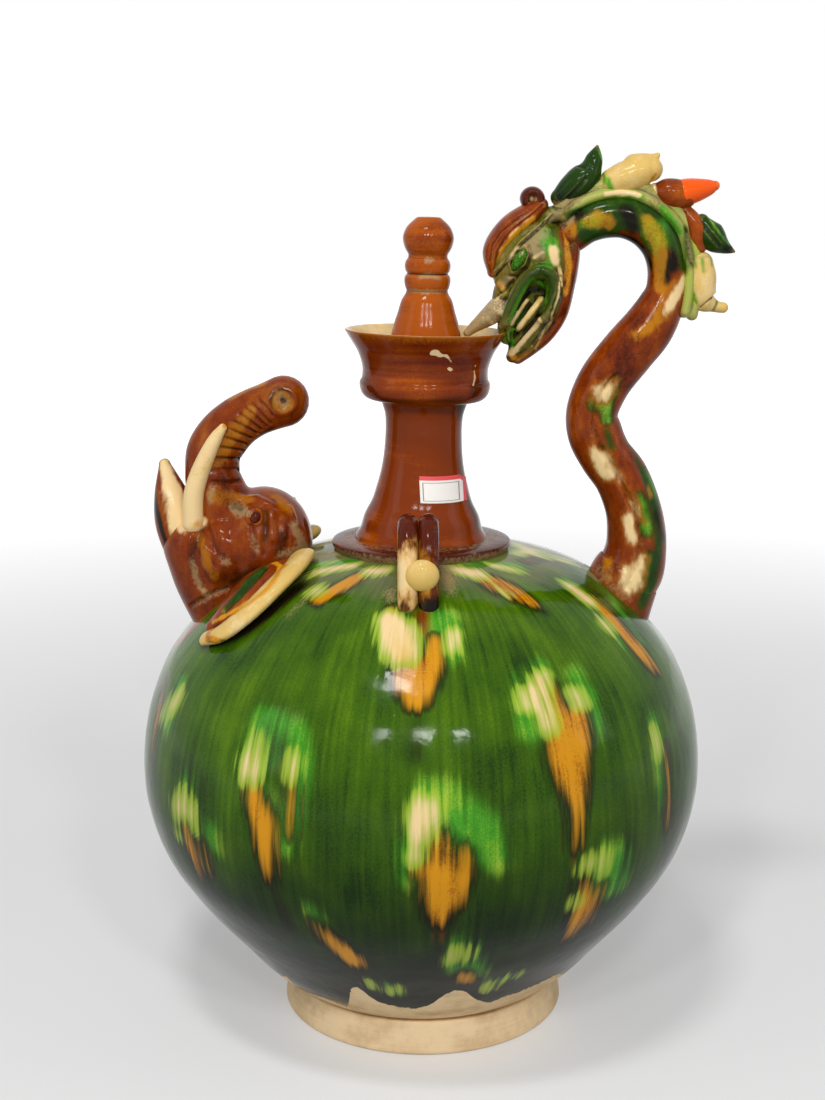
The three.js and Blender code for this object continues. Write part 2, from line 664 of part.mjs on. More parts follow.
const elephantGrown = elephantForm(clearance);
const trunkGrown = trunkForm(clearance);
const boreSpace = spoutBore();
const tipHollow = (hand) => elephantBlob(tipHollowShares, {}, hand);
const head = cut(elephantForm(), bodyGrown, collarGrown, mouthForm(), boreSpace);
addPiece(root, 'elephant_head', head, amberGlaze, glossy);
const lowerJaw = cut(lowerJawForm(), elephantGrown, mouthForm(), bodyGrown, boreSpace);
addPiece(root, 'elephant_lower_jaw', lowerJaw, brownGlaze, glossy);
const trunk = cut(trunkForm(), elephantGrown, mouthForm(), tipHollow(-1), tipHollow(1));
addPiece(root, 'elephant_trunk', trunk, amberGlaze, glossy);
for (const [side, hand] of [['front', -1], ['back', 1]]) {
  const tusk = elephantLimb(tuskShares, { steps: 7, sides: smallSides }, tuskSpreadShare * hand);
  const eye = elephantBlob(elephantEyeShares, {}, hand);
  const tuskCut = cut(tusk, elephantGrown, trunkGrown, lowerJawForm(clearance));
  addPiece(root, `tusk_${side}`, tuskCut, creamGlaze, glossy);
  addPiece(root, `elephant_eye_${side}`, cut(eye, elephantGrown), brownGlaze, glossy);
  addPiece(root, `ear_${side}`, cut(earBlade(hand), bodyGrown, elephantGrown), amberGlaze, glossy);
  const rim = cut(earRim(hand), bodyGrown, elephantGrown, earBlade(hand, clearance));
  addPiece(root, `ear_rim_${side}`, rim, creamGlaze, glossy);
}

for (const [side, face] of [['front', -1], ['back', 1]]) {
  for (const [hand, turnTo] of [['left', -1], ['right', 1]]) {
    const roll = cut(lugRoll(face, turnTo), bodyGrown, collarGrown);
    addPiece(root, `lug_${side}_${hand}`, roll, brownGlaze, glossy);
  }
  const rolls = [-1, 0, 1].map((turnTo) => lugRoll(face, turnTo, clearance));
  addPiece(root, `lug_button_${side}`, cut(lugButton(face), bodyGrown, ...rolls), creamGlaze, glossy);
}

export default root;
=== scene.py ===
import json
import math

import bmesh
import bpy
import numpy as np
from bpy.props import FloatProperty, FloatVectorProperty, IntProperty, PointerProperty
from mathutils import Matrix, Vector
from mathutils.bvhtree import BVHTree


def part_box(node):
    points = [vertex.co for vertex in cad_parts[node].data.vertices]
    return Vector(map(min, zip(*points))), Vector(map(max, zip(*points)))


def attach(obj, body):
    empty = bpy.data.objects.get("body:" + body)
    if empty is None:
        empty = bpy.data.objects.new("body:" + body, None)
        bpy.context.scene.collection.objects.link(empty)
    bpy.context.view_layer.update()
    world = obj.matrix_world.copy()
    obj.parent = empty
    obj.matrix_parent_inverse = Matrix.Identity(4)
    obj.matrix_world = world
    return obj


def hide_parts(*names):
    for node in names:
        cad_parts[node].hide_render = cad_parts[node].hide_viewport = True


bl_info = {
    "name": "Dragon Handled Ewer",
    "version": (1, 0, 0),
    "blender": (4, 5, 0),
    "location": "3D View > Sidebar > Ewer",
    "description": "Builds a lead-glazed ewer with a dragon handle and an elephant spout",
    "category": "Add Mesh",
}

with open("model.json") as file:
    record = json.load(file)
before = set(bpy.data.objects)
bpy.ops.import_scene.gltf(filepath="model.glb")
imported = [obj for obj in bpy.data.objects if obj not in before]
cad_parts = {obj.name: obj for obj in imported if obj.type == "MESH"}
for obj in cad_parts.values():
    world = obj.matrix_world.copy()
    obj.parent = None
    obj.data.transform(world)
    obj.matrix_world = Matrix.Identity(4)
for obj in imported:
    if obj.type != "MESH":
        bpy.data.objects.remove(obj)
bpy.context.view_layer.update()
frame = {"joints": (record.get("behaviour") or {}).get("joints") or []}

MM = 0.001
Y_AXIS = Vector((0, 1, 0))
TINY = 1e-9
MERGE = 1e-5
# The share of a turned form's steps that its seen half takes
SEEN_SHARE = 0.62
STROKE_STEP_PX = 2
# What a painted field gains for each pass that blurs it
BLUR_GAIN = 0.04
# The bend of the skin, in 1 per metre, that is a whole step of the relief attribute
FULL_BEND = 700

# The camera of the photograph: its place, its pitch and its focal length in pixels
PHOTO_SIZE_PX = (825, 1100)
FOCAL_PX = 1700
CAMERA_PLACE = Vector((-0.0048, -0.731, 0.364))
CAMERA_PITCH = math.radians(12.01)
SENSOR = 36

# Places that the frame gives
FOOT_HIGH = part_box("foot")[1]
BODY_LOW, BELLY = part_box("lower_body")
BODY_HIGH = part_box("upper_body")[1]
COLLAR_LOW, COLLAR_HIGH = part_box("collar_ring")
AXIS_X = (COLLAR_LOW.x + COLLAR_HIGH.x) / 2
LEAN = math.asin(frame["joints"][0]["axis"][0])
LEANING = Matrix.Translation((AXIS_X, 0, COLLAR_HIGH.z)) @ Matrix.Rotation(LEAN, 4, "Y")
# The gap between two solids of the CAD part
GAP = 0.3 * MM


def tint(code):
    """A screen colour as the linear colour that a shader takes."""
    shares = [((code >> shift) & 255) / 255 for shift in (16, 8, 0)]
    return tuple(c / 12.92 if c < 0.04045 else ((c + 0.055) / 1.055) ** 2.4 for c in shares)


def colour(name, description, code):
    return FloatVectorProperty(
        name=name, description=description, default=tint(code), size=3, subtype="COLOR", min=0, max=1,
    )


def length(name, description, default):
    return FloatProperty(name=name, description=description, default=default, unit="LENGTH", min=0)


class EwerSizes(bpy.types.PropertyGroup):
    """Real sizes of the ewer, most of them from the frame"""

    foot_radius: length("Foot radius", "Outside radius of the foot", FOOT_HIGH.x)
    foot_height: length("Foot height", "Height of the foot", FOOT_HIGH.z)
    body_radius: length("Body radius", "Outside radius at the belly", BELLY.y)
    body_height: length("Body height", "Height of the body above its foot", BODY_HIGH.z - BODY_LOW.z)
    wall: length("Wall", "Thickness of the body's wall", 6 * MM)
    collar_radius: length("Collar radius", "Outside radius of the collar", COLLAR_HIGH.y)
    collar_height: length("Collar height", "Thickness of the collar", 3.4 * MM)
    neck_radius: length("Neck radius", "Radius of the neck at its foot", 28.7 * MM)
    neck_height: length("Neck height", "Height of the neck", 59.5 * MM)
    bore_radius: length("Bore radius", "Radius of the neck's bore", 11.3 * MM)
    rim_radius: length("Rim radius", "Outside radius of the mouth", 35.1 * MM)
    dish_height: length("Dish height", "Height of the mouth", 30.2 * MM)
    stopper_height: length("Stopper height", "Height of the stopper above its plug", 64.8 * MM)
    knob_radius: length("Knob radius", "Radius of the stopper's knob", 10.8 * MM)
    plug_length: length("Plug length", "Depth of the stopper in the bore", 18 * MM)
    dragon_height: length("Dragon height", "Height of the dragon's head", 60 * MM)
    handle_reach: length("Handle reach", "How far the handle stands out from the rim", 67 * MM)
    handle_rise: length("Handle rise", "Height of the handle's arch above the rim", 46.9 * MM)
    handle_girth: length("Handle girth", "Radius of the handle", 12 * MM)
    mane_thickness: length("Mane thickness", "Thickness of the mane's band", 2.2 * MM)
    elephant_height: length("Elephant height", "Height of the elephant's head", 90 * MM)
    lug_height: length("Lug height", "Height of a lug", 27 * MM)
    lug_seat: length("Lug seat", "Distance of a lug's foot from the middle", 69 * MM)
    lug_roll_radius: length("Lug roll radius", "Radius of each roll of a lug", 4.2 * MM)
    turn_steps: IntProperty(name="Turn steps", description="Steps round the body", default=370, min=32)


class EwerColours(bpy.types.PropertyGroup):
    """Colours of the glazes, the clay and the paper"""

    green: colour("Green", "Green glaze of the body", 0x385C04)
    green_light: colour("Light green", "Thin green glaze", 0x527608)
    green_deep: colour("Deep green", "Thick green glaze", 0x1C3A05)
    # Green black is also the painted shade towards the body's bottom
    green_black: colour("Green black", "Glaze pooled at the bottom", 0x0A160A)
    lime: colour("Lime", "Green glaze thinned by cream", 0x3F9420)
    lime_yellow: colour("Yellow lime", "Lime glaze over bare slip", 0xA2BC38)
    cream: colour("Cream", "Clear glaze over pale slip", 0xE9CC96)
    cream_yellow: colour("Yellow cream", "Straw-coloured glaze", 0xD8B566)
    amber: colour("Amber", "Amber glaze in the runs", 0xD08E16)
    amber_deep: colour("Deep amber", "Amber glaze where it is thick", 0x985008)
    # Dark glaze of the trails below runs, also the colour of painted shade beside the neck, under the dish and under
    # the ears
    trail_and_shade: colour("Trail", "Dark trail below a run", 0x150D05)
    brown: colour("Brown", "Brown glaze of the neck", 0x7E3208)
    brown_light: colour("Light brown", "Thin brown glaze", 0xA8500C)
    brown_deep: colour("Deep brown", "Thick brown glaze", 0x4A1708)
    maroon: colour("Maroon", "Brown glaze of the mouth", 0x5E1C0A)
    olive: colour("Olive", "Olive glaze on the dragon", 0x5E5A16)
    olive_pale: colour("Pale olive", "Thin olive glaze over slip", 0xA8A65C)
    olive_light: colour("Light olive", "Thin olive glaze", 0x8A7836)
    orange: colour("Orange", "Bright tip of one lock", 0xF25A14)
    clay: colour("Clay", "Unglazed clay", 0xF2D6AA)
    clay_dark: colour("Dark clay", "Stained clay", 0xC09A66)
    dust: colour("Dust", "Grey crust in the corners", 0x9A8862)
    paper: colour("Paper", "Paper of the label", 0xF0EEEA)
    paper_red: colour("Red paper", "Printed edge of the label", 0xE04A50)


def sizes():
    return bpy.context.scene.ewer_sizes


# Lines and shapes

def rounded(points, count):
    """Evenly spread points on a round line through the given ones."""
    rows = [Vector(point) for point in points]
    padded = [rows[0] * 2 - rows[1], *rows, rows[-1] * 2 - rows[-2]]
    line = []
    for i in range(count + 1):
        place = i / count * (len(rows) - 1)
        k = min(int(place), len(rows) - 2)
        t = place - k
        p0, p1, p2, p3 = padded[k:k + 4]
        d0, d1, d2 = (max((b - a).length, TINY) ** 0.5 for a, b in ((p0, p1), (p1, p2), (p2, p3)))
        leave = ((p1 - p0) / d0 - (p2 - p0) / (d0 + d1) + (p2 - p1) / d1) * d1
        reach = ((p2 - p1) / d1 - (p3 - p1) / (d1 + d2) + (p3 - p2) / d2) * d1
        a = (2 * t - 3) * t * t
        line.append(p1 * (a + 1) + leave * (t * (t - 1) ** 2) - p2 * a + reach * (t * t * (t - 1)))
    return line


def profile_of(shares, radius, height, bottom=0.0):
    return [(r * radius, bottom + h * height) for r, h in shares]


def turned(line, steps, centre=(0, 0, 0)):
    """A turned form: a line of radius and height, spun in two halves, the seen one in finer steps."""
    form = bmesh.new()
    cent = Vector(centre)
    verts = [form.verts.new(cent + Vector((max(r, 0), 0, z))) for r, z in line]
    ring = verts + [form.edges.new(pair) for pair in zip(verts, verts[1:])]
    for share in (1 - SEEN_SHARE, SEEN_SHARE):
        ring = bmesh.ops.spin(
            form, geom=ring, cent=cent, axis=(0, 0, 1), angle=math.pi, steps=round(steps * share),
        )["geom_last"]
    bmesh.ops.remove_doubles(form, verts=form.verts, dist=MERGE)
    bmesh.ops.recalc_face_normals(form, faces=form.faces)
    return form


def stations_along(rows, flat, side, steps, cap):
    """Frames along a limb, with rounded ends, each with the section's size in it."""
    line = rounded(rows, steps)
    centres = [point.to_3d() for point in line]
    last = len(line) - 1
    places = [(0, -math.cos(i / cap * math.pi / 2), math.sin(i / cap * math.pi / 2)) for i in range(cap)]
    places += [(i, 0, 1) for i in range(last + 1)]
    places += [(last, math.sin(i / cap * math.pi / 2), math.cos(i / cap * math.pi / 2)) for i in range(1, cap + 1)]
    frames = []
    for i, ahead, share in places:
        along = (centres[min(i + 1, last)] - centres[max(i - 1, 0)]).normalized()
        across = side.cross(along).normalized()
        deep = along.cross(across)
        radius = line[i][3]
        size = max(radius * share, MERGE / 4)
        turn = Matrix((across * size, deep * size * flat, along)).transposed().to_4x4()
        frames.append(Matrix.Translation(centres[i] + along * radius * ahead) @ turn)
    return frames


def add_limb(form, rows, flat=1.0, side=Y_AXIS, steps=36, sides=28, cap=6):
    """A tapered round limb along rows of x, y, z and radius."""
    frames = stations_along(rows, flat, side, steps, cap)
    ring = bmesh.ops.create_circle(form, segments=sides, radius=1, matrix=frames[0])["verts"]
    start = len(form.verts) - sides
    for before, after in zip(frames, frames[1:]):
        edges = list({edge for vert in ring for edge in vert.link_edges if edge.other_vert(vert) in set(ring)})
        made = bmesh.ops.extrude_edge_only(form, edges=edges)["geom"]
        ring = [item for item in made if isinstance(item, bmesh.types.BMVert)]
        bmesh.ops.transform(form, matrix=after @ before.inverted(), verts=ring)
    form.verts.ensure_lookup_table()
    bmesh.ops.remove_doubles(form, verts=form.verts[start:], dist=MERGE)


def add_blob(form, centre, radii, turn=0.0, across=28, down=18):
    """A rounded lump, turned about the Y axis."""
    place = Matrix.Translation(centre) @ Matrix.Rotation(turn, 4, "Y") @ Matrix.Diagonal((*radii, 1))
    bmesh.ops.create_uvsphere(form, u_segments=across, v_segments=down, radius=1, matrix=place)


def limb(rows, **shape):
    """A form that is a single limb."""
    form = bmesh.new()
    add_limb(form, rows, **shape)
    return form


def linked(name, form):
    """A form as an object of the scene."""
    shape = bpy.data.meshes.new(name)
    form.to_mesh(shape)
    form.free()
    piece = bpy.data.objects.new(name, shape)
    bpy.context.scene.collection.objects.link(piece)
    return piece


def baked(piece):
    """The piece with its modifiers made part of its mesh."""
    shape = bpy.data.meshes.new_from_object(piece.evaluated_get(bpy.context.evaluated_depsgraph_get()))
    piece.modifiers.clear()
    piece.data = shape
    return piece


def fuse(piece, voxel, passes):
    """Melts the overlapping parts of a piece into one skin, and relaxes it."""
    melt = piece.modifiers.new("Melt", "REMESH")
    melt.mode = "VOXEL"
    melt.voxel_size = voxel
    baked(piece)
    form = bmesh.new()
    form.from_mesh(piece.data)
    for _ in range(passes):
        bmesh.ops.smooth_vert(
            form, verts=form.verts, factor=0.5, use_axis_x=True, use_axis_y=True, use_axis_z=True,
        )
    form.to_mesh(piece.data)
    form.free()
    return piece


def new_piece(name, form, nodes, body="ewer", place=None):
    """Turns a form into a piece that rides on a body and stands for its nodes."""
    if place is not None:
        bmesh.ops.transform(form, matrix=place, verts=form.verts)
    bmesh.ops.recalc_face_normals(form, faces=form.faces)
    piece = linked(name, form)
    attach(piece, body)
    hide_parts(*nodes)
    return piece


def finish_piece(piece, material):
    piece.data.materials.clear()
    piece.data.materials.append(material)
    piece.data.polygons.foreach_set("use_smooth", [True] * len(piece.data.polygons))
    piece.data.update()


# Strokes: lines of photograph places and half widths, in pixels, laid on a piece's skin

def sight(u, v):
    """The direction in which the camera sees a place of the photograph."""
    ahead = Vector((0, math.cos(CAMERA_PITCH), -math.sin(CAMERA_PITCH)))
    up = Vector((0, math.sin(CAMERA_PITCH), math.cos(CAMERA_PITCH)))
    across = (u - PHOTO_SIZE_PX[0] / 2) / FOCAL_PX
    rise = (PHOTO_SIZE_PX[1] / 2 - v) / FOCAL_PX
    return (ahead + Vector((1, 0, 0)) * across + up * rise).normalized()


def seen_at(points):
    """The photograph places of points."""
    away = points - np.array(CAMERA_PLACE)
    depth = away @ np.array((0, math.cos(CAMERA_PITCH), -math.sin(CAMERA_PITCH)))
    rise = away @ np.array((0, math.sin(CAMERA_PITCH), math.cos(CAMERA_PITCH)))
    u = PHOTO_SIZE_PX[0] / 2 + FOCAL_PX * away[:, 0] / depth
    return u, PHOTO_SIZE_PX[1] / 2 - FOCAL_PX * rise / depth


def tree_of(piece):
    form = bmesh.new()
    form.from_mesh(piece.data)
    tree = BVHTree.FromBMesh(form)
    form.free()
    return tree


def dense(stroke):
    """The same stroke with a place every few pixels, so that it follows a curved skin."""
    rows = []
    for a, b in zip(stroke, stroke[1:]):
        count = max(1, round(math.dist(a[:2], b[:2]) / STROKE_STEP_PX))
        rows += [tuple(p + (q - p) * i / count for p, q in zip(a, b)) for i in range(count)]
    return [*rows, stroke[-1]]


def ring_px(u, v, radius, half):
    """A round stroke about a photograph place."""
    turns = [math.tau * i / 24 for i in range(25)]
    return [(u + radius * math.cos(turn), v + radius * math.sin(turn), half) for turn in turns]


def laid(tree, stroke, depth):
    """A stroke's places on the skin, each with its half width in metres."""
    line = []
    for u, v, half in dense(stroke):
        way = sight(u, v)
        place = tree.ray_cast(CAMERA_PLACE, way)[0]
        if place is None:
            place = tree.find_nearest(CAMERA_PLACE + way * depth)[0]
        distance = (place - CAMERA_PLACE).length
        line.append((np.array(place), half * distance / FOCAL_PX))
    return line


def nearness(points, line):
    """1 on a line, a half at its half width and 0 at twice that."""
    best = np.zeros(len(points))
    for (a, wide_a), (b, wide_b) in zip(line, line[1:]):
        run = b - a
        t = np.clip((points - a) @ run / max(run @ run, TINY), 0, 1)
        gap = np.linalg.norm(points - (a + t[:, None] * run), axis=1)
        best = np.maximum(best, 1 - gap / (2 * (wide_a + t * (wide_b - wide_a))))
    return best


def each_vertex(piece, key):
    flat = np.empty(len(piece.data.vertices) * 3)
    piece.data.vertices.foreach_get(key, flat)
    return flat.reshape(-1, 3)


def places_of(piece):
    return each_vertex(piece, "co")


def normals_of(piece):
    return each_vertex(piece, "normal")


def field_of(piece, strokes, both=True):
    """How near each point of a piece is to any of the strokes, on one side or on both."""
    tree = tree_of(piece)
    points = places_of(piece)
    depth = float(np.linalg.norm(points.mean(0) - np.array(CAMERA_PLACE)))
    field = np.zeros(len(points))
    clouds = [points, points * np.array((1, -1, 1))] if both else [points]
    for stroke in strokes:
        line = laid(tree, stroke, depth)
        places = np.array([place for place, _ in line])
        reach = 2 * max(wide for _, wide in line)
        for cloud in clouds:
            near = np.all((cloud > places.min(0) - reach) & (cloud < places.max(0) + reach), axis=1)
            field[near] = np.maximum(field[near], nearness(cloud[near], line))
    return field


def keep_field(piece, layer, field):
    store = piece.data.attributes.get(layer) or piece.data.attributes.new(layer, "FLOAT", "POINT")
    store.data.foreach_set("value", np.clip(field, 0, 1).astype(np.float32))


def spreader(piece):
    """A function that gives each point of a piece the mean of its neighbours' values."""
    mesh = piece.data
    ends = np.empty(len(mesh.edges) * 2, dtype=np.int64)
    mesh.edges.foreach_get("vertices", ends)
    first, second = ends.reshape(-1, 2).T
    total = len(mesh.vertices)
    count = np.maximum(np.bincount(first, minlength=total) + np.bincount(second, minlength=total), 1)

    def spread(values):
        return (np.bincount(first, values[second], total) + np.bincount(second, values[first], total)) / count

    return spread


def paint(piece, layers, both=True, passes=4):
    """Keeps one attribute for each layer of glaze, from its strokes, blurred over some passes."""
    spread = spreader(piece)
    for layer, strokes in layers.items():
        field = field_of(piece, strokes, both)
        for _ in range(passes):
            field = spread(field)
        keep_field(piece, layer, field * (1 + passes * BLUR_GAIN))


def keep_relief(piece, passes):
    """Keeps how hollow the skin is, over a half, or how proud, under a half, so that glaze can pool."""
    spread = spreader(piece)
    points, normals = places_of(piece), normals_of(piece)
    mean = np.stack([spread(points[:, k]) for k in range(3)], 1)
    square = (points ** 2).sum(1)
    size = spread(square) - 2 * (points * mean).sum(1) + square
    bend = ((mean - points) * normals).sum(1) / np.maximum(size, TINY * TINY)
    for _ in range(passes):
        bend = spread(bend)
    keep_field(piece, "relief", 0.5 + bend / FULL_BEND)


def keep_flow(piece):
    """Keeps a map of the body on which a glaze's way down is straight."""
    points = places_of(piece)
    out = points[:, 0] - AXIS_X
    turn = np.arctan2(points[:, 1], out)
    rise = np.arctan2(points[:, 2] - BELLY.z, np.hypot(out, points[:, 1]))
    flow = np.stack([np.cos(turn), np.sin(turn), rise], 1) * BELLY.y
    store = piece.data.attributes.new("flow", "FLOAT_VECTOR", "POINT")
    store.data.foreach_set("vector", flow.ravel().astype(np.float32))


def carve(piece, strokes, depth, both=True):
    """Raises the skin along strokes, or lowers it where the depth is negative."""
    share = np.clip(field_of(piece, strokes, both), 0, 1)
    share = share * share * (3 - 2 * share)
    moved = places_of(piece) + normals_of(piece) * (share * depth)[:, None]
    piece.data.vertices.foreach_set("co", moved.ravel())
    piece.data.update()


# Shader groups

class Wiring:
    """Short words for adding nodes to a tree and joining them."""

    def __init__(self, tree):
        self.tree = tree

    def add(self, kind, values=None, **settings):
        node = self.tree.nodes.new(kind)
        for key, value in settings.items():
            setattr(node, key, value)
        for key, value in (values or {}).items():
            self.set(node.inputs[key], value)
        return node

    def set(self, socket, value):
        """Links a socket to another, or gives it a value or the colour of that name."""
        if isinstance(value, bpy.types.NodeSocket):
            self.tree.links.new(value, socket)
        elif isinstance(value, str):
            socket.default_value = (*getattr(bpy.context.scene.ewer_colours, value), 1)
        else:
            socket.default_value = value

    def group(self, name, values):
        return self.add("ShaderNodeGroup", values, node_tree=bpy.data.node_groups.get(name) or GROUPS[name]())

    def attribute(self, name, output="Fac"):
        return self.add("ShaderNodeAttribute", attribute_name=name).outputs[output]

    def noise(self, vector, scale, detail=2.0, rough=0.5):
        node = self.add("ShaderNodeTexNoise", {"Vector": vector, "Scale": scale, "Detail": detail, "Roughness": rough})
        return node.outputs["Fac"]

    def math(self, operation, a, b=0.0, clamp=False):
        return self.add("ShaderNodeMath", {0: a, 1: b}, operation=operation, use_clamp=clamp).outputs[0]

    def plus(self, a, b):
        return self.math("ADD", a, b)

    def minus(self, a, b):
        return self.math("SUBTRACT", a, b)

    def times(self, a, b):
        return self.math("MULTIPLY", a, b)

    def range(self, value, low, high, to_low=0.0, to_high=1.0, smooth=True):
        node = self.add(
            "ShaderNodeMapRange",
            {"Value": value, "From Min": low, "From Max": high, "To Min": to_low, "To Max": to_high},
            interpolation_type="SMOOTHSTEP" if smooth else "LINEAR",
        )
        return node.outputs[0]

    def mix(self, factor, a, b):
        """Two colours mixed. The numbers are the places of the node's colour sockets."""
        return self.add("ShaderNodeMix", {0: factor, 6: a, 7: b}, data_type="RGBA").outputs[2]

    def stretch(self, vector, scale):
        return self.add("ShaderNodeVectorMath", {0: vector, 1: scale}, operation="MULTIPLY").outputs[0]


def new_group(name, inputs, outputs):
    """A shader group with sockets of the given kinds: its wiring, what it is given and what it gives."""
    group = bpy.data.node_groups.new(name, "ShaderNodeTree")
    for side, sockets in (("INPUT", inputs), ("OUTPUT", outputs)):
        for label, kind in sockets.items():
            group.interface.new_socket(name=label, in_out=side, socket_type=f"NodeSocket{kind}")
    wire = Wiring(group)
    return wire, wire.add("NodeGroupInput").outputs, wire.add("NodeGroupOutput").inputs


def glaze_tone_group():
    """Mottled glaze: three tones of one colour in streaks, clouds and fine specks."""
    wire, given, result = new_group(
        "glaze_tone",
        {
            "Vector": "Vector", "Thin": "Color", "Middle": "Color", "Thick": "Color", "Streak": "Vector",
            "Speck": "Float",
        },
        {"Color": "Color"},
    )
    streak = wire.noise(wire.stretch(given["Vector"], given["Streak"]), 1.0, 3.0)
    cloud = wire.noise(given["Vector"], 38.0)
    grain = wire.times(wire.minus(wire.noise(given["Vector"], 1300.0, 1.0), 0.5), given["Speck"])
    tone = wire.plus(wire.plus(wire.times(streak, 0.42), wire.times(cloud, 0.58)), grain)
    shade = wire.mix(wire.range(tone, 0.3, 0.52), given["Thick"], given["Middle"])
    wire.set(result["Color"], wire.mix(wire.range(tone, 0.48, 0.72), shade, given["Thin"]))
    return wire.tree


def run_mask_group():
    """The mask of a painted layer, with its edge drawn out in streaks, and a wider one for its rim."""
    wire, given, result = new_group(
        "run_mask",
        {
            "Field": "Float", "Vector": "Vector", "Streak": "Vector", "Soft": "Float", "Ragged": "Float",
            "Level": "Float",
        },
        {"Mask": "Float", "Rim": "Float"},
    )
    noise = wire.noise(wire.stretch(given["Vector"], given["Streak"]), 1.0, 3.0, 0.6)
    value = wire.plus(given["Field"], wire.times(wire.minus(noise, 0.5), given["Ragged"]))
    low = wire.minus(given["Level"], given["Soft"])
    mask = wire.range(value, low, wire.plus(given["Level"], given["Soft"]))
    rim = wire.range(value, wire.minus(low, RIM_REACH), wire.plus(low, RIM_REACH / 3))
    held = wire.range(given["Field"], 0.02, 0.12)
    wire.set(result["Mask"], wire.times(mask, held))
    wire.set(result["Rim"], wire.times(rim, held))
    return wire.tree


def glaze_skin_group():
    """The height of a glaze, of soft waves, a faint orange peel and pin holes, and its roughness."""
    wire, given, result = new_group("glaze_skin", {"Vector": "Vector"}, {"Height": "Float", "Roughness": "Float"})
    vector = given["Vector"]
    dots = wire.add("ShaderNodeTexVoronoi", {"Vector": vector, "Scale": 260.0}).outputs["Distance"]
    pits = wire.times(wire.range(dots, 0.03, 0.1, 1.0, 0.0), wire.range(wire.noise(vector, 45.0), 0.52, 0.62))
    height = wire.noise(vector, 70.0)
    for scale, share in ((210.0, 0.22), (900.0, 0.05)):
        height = wire.plus(height, wire.times(wire.noise(vector, scale, 1.0), share))
    wire.set(result["Height"], wire.minus(height, wire.times(pits, 0.2)))
    wire.set(result["Roughness"], wire.range(wire.noise(vector, 120.0, 3.0), 0.3, 0.7, 0.06, 0.17))
    return wire.tree


def dry_clay_group():
    """Dry clay: fine grain, turning lines, tan stains and small chips."""
    wire, given, result = new_group(
        "dry_clay", {"Vector": "Vector", "Light": "Color", "Dark": "Color"}, {"Color": "Color", "Height": "Float"},
    )
    vector = given["Vector"]
    lines = wire.noise(wire.stretch(vector, (25, 25, 700)), 1.0, 3.0)
    cloud = wire.noise(vector, 60.0, 4.0, 0.65)
    grain = wire.noise(vector, 1400.0, 3.0, 0.7)
    tone = wire.plus(wire.times(lines, 0.2), wire.times(cloud, 0.8))
    shade = given["Light"]
    for share in (
        wire.range(tone, 0.6, 0.3, 0.0, 0.6), wire.range(wire.noise(vector, 34.0, 3.0), 0.6, 0.72, 0.0, 0.55),
        wire.range(grain, 0.6, 0.75, 0.0, 0.35),
    ):
        shade = wire.mix(share, shade, given["Dark"])
    height = wire.plus(wire.times(grain, 0.25), wire.times(lines, 0.5))
    wire.set(result["Color"], shade)
    wire.set(result["Height"], wire.plus(height, wire.times(cloud, 0.6)))
    return wire.tree


GROUPS = {
    "glaze_tone": glaze_tone_group, "run_mask": run_mask_group, "glaze_skin": glaze_skin_group,
    "dry_clay": dry_clay_group,
}


# Materials

# How finely a glaze's streaks run along X, Y and Z
DOWN_STREAK = (360, 360, 22)
ROUND_STREAK = (26, 26, 420)
EVEN_STREAK = (240, 240, 120)
CRUST_STREAK = (620, 620, 620)

# How far a layer's rim reaches beyond its edge, and how much it shows
RIM_REACH = 0.24
RIM_STRENGTH = 0.75
# For each painted layer: its attribute, how soft and how ragged its edge is, and the level of its edge
LAYER_LOOKS = [
    ("lime", 0.46, 1.1, 0.5), ("brown", 0.4, 1.0, 0.5), ("green", 0.4, 1.0, 0.5), ("trail_and_shade", 0.4, 1.0, 0.47),
    ("amber", 0.3, 1.1, 0.5), ("cream", 0.3, 1.2, 0.52), ("dust", 0.4, 1.6, 0.62), ("clay", 0.05, 0.35, 0.5),
]
# Glazes by their thin, middle and thick colour
BROWN_TONES = ("brown_light", "brown", "brown_deep")
DARK_TONES = ("brown", "brown_deep", "maroon")
SPOUT_TONES = ("amber_deep", "brown", "brown_deep")
CREAM_TONES = ("cream", "cream_yellow", "cream_yellow")
DEEP_GREEN_TONES = ("green_deep", "green_deep", "green_black")
# For each layer of glaze: its tones and how specked it is
LAYER_TONES = {
    "lime": (("lime_yellow", "lime", "green"), 0.2),
    "cream": (("cream", "cream", "cream_yellow"), 0.1),
    "amber": (("amber", "amber", "amber_deep"), 0.3),
    "brown": (BROWN_TONES, 0.2),
    "green": (("green", "green_deep", "green_deep"), 0.2),
    "trail_and_shade": (("trail_and_shade", "trail_and_shade", "green_black"), 0.1),
}
# How thickly each dry layer covers the glaze
DRY_COVER = {"dust": 0.7, "clay": 1.0}
DRY_ROUGHNESS = 0.6
DRY_HEIGHT = 0.6
GLAZE_IOR = 1.44
GLAZE_SPECULAR = 0.13
BUMP_DEPTH = 0.6 * MM


def new_material(name):
    """A material with its wiring, its surface's sockets and the place on the object."""
    material = bpy.data.materials.new(name)
    material.use_nodes = True
    wire = Wiring(material.node_tree)
    surface = material.node_tree.nodes["Principled BSDF"].inputs
    return material, wire, surface, wire.add("ShaderNodeTexCoord").outputs["Object"]


def dress(wire, surface, shade, rough, height, strength, depth=BUMP_DEPTH):
    """Gives a surface its colour, its roughness and its fine relief."""
    bump = wire.add("ShaderNodeBump", {"Strength": strength, "Distance": depth, "Height": height}).outputs[0]
    for label, value in (("Base Color", shade), ("Roughness", rough), ("Normal", bump)):
        wire.set(surface[label], value)


def mottled(wire, vector, streak, tones, speck):
    """The colour of a glaze of three tones."""
    values = {"Vector": vector, "Streak": streak, "Speck": speck, **dict(zip(("Thin", "Middle", "Thick"), tones))}
    return wire.group("glaze_tone", values).outputs["Color"]


